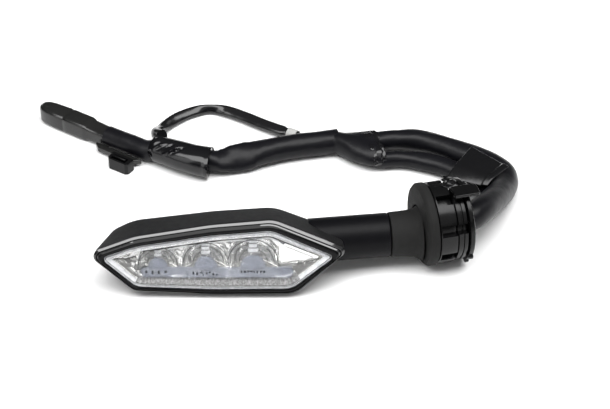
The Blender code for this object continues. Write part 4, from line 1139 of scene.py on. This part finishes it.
SCRAPS = (  # crumple, then x, y and height of the corners of each torn end under the flag
    (1.0, ((4.2, 4.0, 12.6), (7.3, 5.8, 14.2), (13.0, 4.2, 13.0), (17.2, 1.4, 12.0),
           (15.2, -1.4, 13.9), (8.8, -0.6, 14.6), (5.0, 0.8, 14.2))),
    (0.3, ((15.0, 31.5, -6.4), (21.0, 34.0, -6.0), (27.0, 31.0, -6.0), (33.0, 27.0, -6.0),
           (35.0, 20.5, -6.0), (31.0, 16.8, -6.0), (25.5, 19.0, -6.4), (20.0, 24.5, -6.6))),
)


def build_scraps():
    """Crumpled ends of torn tape between the fork and the holder."""
    for number, (crumple, corners) in enumerate(SCRAPS):
        points = [Vector(c) for c in corners]
        middle = centre_of(points)
        rows = []
        for share in (1.0, 0.8, 0.55, 0.3, 0.02):
            row = []
            for i, corner in enumerate(points):
                after = points[(i + 1) % len(points)]
                for k in range(6):
                    p = middle.lerp(corner.lerp(after, k / 6), share)
                    lift = noise.noise(p * 0.55 + Vector((0.0, 0.0, 7.0 * number))) * 1.6 * crumple
                    rag = 1.0 + 0.18 * noise.noise(p * 1.7) * (share > 0.9)
                    p = middle + (p - middle) * rag
                    row.append((p.x, p.y, p.z + lift))
            rows.append(row)
        shape = capped(rows, False)
        scrap = make_piece(f"tape_scrap_{number + 1}", shape, MOUNT_FRAME, FLAG, "mount",
                           (), 22.0)
        scrap.modifiers.new("wall", "SOLIDIFY").thickness = 0.25 * MM


def rounded_section(half_width, low, high, corner):
    """A rounded rectangle in yz, from its +y +z corner round."""
    side, top, foot = half_width - corner, high - corner, low + corner
    points = []
    quarters = ((side, top, 0.0), (-side, top, 90.0), (-side, foot, 180.0), (side, foot, 270.0))
    for cy, cz, start in quarters:
        for degrees in range(0, 91, 15):
            angle = math.radians(start + degrees)
            points.append((cy + corner * math.cos(angle), cz + corner * math.sin(angle)))
    return points


BOOT_SECTIONS = (  # x, half width, low, high, corner radius
    (0.0, 3.6, 1.2, 6.2, 1.2), (5.0, 3.7, 1.0, 6.3, 1.2), (10.5, 3.8, 0.9, 6.5, 1.1),
    (11.4, 4.1, 0.3, 7.0, 1.3), (12.4, 4.15, 0.15, 7.4, 1.5), (20.0, 4.2, 0.12, 7.5, 1.6),
    (21.6, 4.2, 0.12, 7.5, 1.6), (22.0, 4.05, 0.12, 7.35, 1.6), (22.5, 4.05, 0.12, 7.35, 1.6),
    (22.9, 4.2, 0.12, 7.5, 1.6), (30.0, 3.9, 0.12, 7.5, 1.6), (33.0, 3.4, 0.12, 7.45, 1.5),
    (34.6, 2.7, 0.15, 7.3, 1.3), (35.5, 1.8, 0.3, 7.0, 1.1), (35.95, 0.9, 0.8, 6.4, 0.8),
)
BOOT_HOLE_AT = (32.4, 0.0, 7.35)


def build_boot():
    """Moulded connector boot with its step, its rounded end and small hole."""
    rows = []
    for x, half_width, low, high, corner in BOOT_SECTIONS:
        section = rounded_section(half_width, low, high, min(corner, half_width * 0.9))
        rows.append([(x, y, z) for y, z in section])
    shape = capped(rows)
    boot = make_piece("boot_skin", shape, PLUG_FRAME, BOOT, "mount",
                      ("connector_boot",), 40.0)
    hole_frame = PLUG_FRAME @ Matrix.Translation(BOOT_HOLE_AT)
    ring = lathe(((0.55, 0.25), (1.25, 0.25), (1.35, 0.12), (1.35, -0.5), (0.55, -0.5)), 32)
    collar = make_piece("boot_hole_rim", ring, hole_frame, BOOT, "mount")
    shape = lathe(((0.0, 0.05), (0.56, 0.05), (0.56, -0.4), (0.0, -0.4)), 24)
    dark = make_piece("boot_hole_floor", shape, hole_frame, CHIP, "mount")
    bar = ((-17.6, 4.6), (-15.2, 7.3), (1.8, 7.3), (4.4, 5.4), (4.4, 4.6))
    shape = prism(bar, 1.0, 3.2)
    plate = make_piece("clip_bar", shape, PLUG_FRAME, BOOT, "mount", ("clip_plate",))
    bevel(plate, 0.35, 3)
    return [boot, collar, dark, plate]


def build_clip_block():
    """Clip block with a rectangular slot, and the tongue in it."""
    x0, x1, y0, y1 = -16.5, -6.5, 7.8, 12.6
    sx0, sx1, sy0, sy1 = -14.9, -8.1, 9.1, 11.7
    outer = [(x0 + 0.5, y0), (x1 - 0.5, y0), (x1, y0 + 0.5), (x1 - 0.4, y1 - 0.8), (x1 - 1.4, y1),
             (x0 + 1.0, y1), (x0, y1 - 0.8), (x0, y0 + 0.5)]
    inner = [(sx0 + 0.1, sy0), (sx1 - 0.1, sy0), (sx1, sy0 + 0.1), (sx1, sy1 - 0.1), (sx1 - 0.1, sy1),
             (sx0 + 0.1, sy1), (sx0, sy1 - 0.1), (sx0, sy0 + 0.1)]
    rows = [[(x, y, 0.12) for x, y in outer], [(x, y, 4.5) for x, y in outer],
            [(x * 0.97 - 0.345, y * 0.97 + 0.306, 4.88) for x, y in outer],
            [(x, y, 4.88) for x, y in inner], [(x, y, 1.3) for x, y in inner]]
    shape = capped(rows)
    walls = make_piece("clip_block_skin", shape, PLUG_FRAME, HOLDER, "mount",
                       ("clip_block",), 30.0)
    shape = block((-14.4, 9.95, 1.6), (-8.6, 10.85, 5.5))
    tongue = make_piece("tongue_skin", shape, PLUG_FRAME, HOLDER, "tongue",
                        ("clip_tongue",))
    bevel(tongue, 0.2, 2)
    return walls


# ---- what stays from the CAD model ---------------------------------------------------------
KEPT = {
    "mount_core": STEEL, "mount_cable": CABLE, "stalk_insert": STEEL, "stalk_cable": CABLE,
    "lens_seal": SEAL, "led_board": BOARD, "led_1": LED, "led_2": LED, "led_3": LED,
    "board_screw_1": STEEL, "board_screw_2": STEEL, "driver_chip": CHIP, "resistor_1": CHIP,
    "resistor_2": CHIP, "board_wire_1": CABLE, "board_wire_2": CABLE, "terminal_1": BRASS,
    "terminal_2": BRASS,
}


def dress_kept_nodes():
    for node, mat in KEPT.items():
        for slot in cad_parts[node].material_slots:
            slot.link = "OBJECT"
            slot.material = mat


# ---- floor, world and lights ---------------------------------------------------------------
def build_floor():
    mesh = bpy.data.meshes.new("floor")
    size = 3.0
    mesh.from_pydata([(-size, -size, 0), (size, -size, 0), (size, size, 0), (-size, size, 0)],
                     [], [(0, 1, 2, 3)])
    mat, tree, shader = shader_of("floor_white")
    grain = noise_node(tree, 40.0)
    ramp_between(tree, grain.outputs["Fac"], (0.90, 0.90, 0.90), (0.93, 0.93, 0.93),
                 shader.inputs["Base Color"], True)
    shader.inputs["Roughness"].default_value = 0.9
    shader.inputs["Specular IOR Level"].default_value = 0.1
    mesh.materials.append(mat)
    add_object("floor", mesh)


def build_world():
    """A soft room: brighter overhead, darker bands at the sides for the chrome to mirror."""
    world = bpy.data.worlds.new("studio")
    bpy.context.scene.world = world
    world.use_nodes = True
    tree = world.node_tree
    back = tree.nodes["Background"]
    where = tree.nodes.new("ShaderNodeTexCoord")
    split = tree.nodes.new("ShaderNodeSeparateXYZ")
    tree.links.new(where.outputs["Generated"], split.inputs["Vector"])
    front = ((0.0, 0.95), (0.12, 0.90), (0.20, 0.10), (0.38, 0.08), (0.50, 0.55), (1.0, 0.40))
    rear = ((0.0, 0.10), (0.12, 0.08), (0.30, 0.08), (0.50, 0.10), (0.80, 0.22), (1.0, 0.35))
    ramps = []
    for stops in (front, rear):
        ramp = tree.nodes.new("ShaderNodeValToRGB")
        tree.links.new(split.outputs["Z"], ramp.inputs["Fac"])
        ramp.color_ramp.elements[0].color = (stops[0][1],) * 3 + (1.0,)
        ramp.color_ramp.elements[1].color = (stops[-1][1],) * 3 + (1.0,)
        for place, value in stops[1:-1]:
            ramp.color_ramp.elements.new(place).color = (value,) * 3 + (1.0,)
        ramps.append(ramp)
    side = tree.nodes.new("ShaderNodeMapRange")
    side.inputs["From Min"].default_value = -0.3
    side.inputs["From Max"].default_value = 0.3
    tree.links.new(split.outputs["Y"], side.inputs["Value"])
    blend = tree.nodes.new("ShaderNodeMix")
    blend.data_type = "RGBA"
    tree.links.new(side.outputs["Result"], blend.inputs["Factor"])
    tree.links.new(ramps[0].outputs["Color"], blend.inputs["A"])
    tree.links.new(ramps[1].outputs["Color"], blend.inputs["B"])
    tree.links.new(blend.outputs["Result"], back.inputs["Color"])
    back.inputs["Strength"].default_value = 1.0


def soft_box(name, at, towards, width, height, radiance):
    data = bpy.data.lights.new(name, "AREA")
    data.shape = "RECTANGLE"
    data.size = width
    data.size_y = height
    data.energy = radiance * math.pi * width * height
    obj = add_object(name, data)
    obj.location = at
    obj.rotation_euler = (Vector(towards) - Vector(at)).to_track_quat("-Z", "Y").to_euler()


build_floor()
build_world()
soft_box("overhead", (0.0, -0.16, 0.80), (0.0, -0.16, 0.0), 1.60, 0.54, 5.9)
soft_box("left", (-0.80, -0.25, 0.42), (0.0, 0.0, 0.02), 0.34, 0.50, 1.8)
soft_box("right", (0.85, 0.30, 0.40), (0.0, 0.0, 0.02), 0.30, 0.45, 1.0)

build_flange()
build_neck()
build_holder()
build_clip()
build_stalk()
build_housing()
build_bezel()
build_lens()
build_reflector()
upper_ribs()
bowl_details()
build_guide()
build_frosted_band()
build_leads()
build_junction()
harness_sleeve, sleeve_points = build_sleeve()
on_sleeve = [build_tape_wrap(), *build_boot(), build_clip_block()]
build_loop()
build_flag()
build_scraps()
dress_kept_nodes()
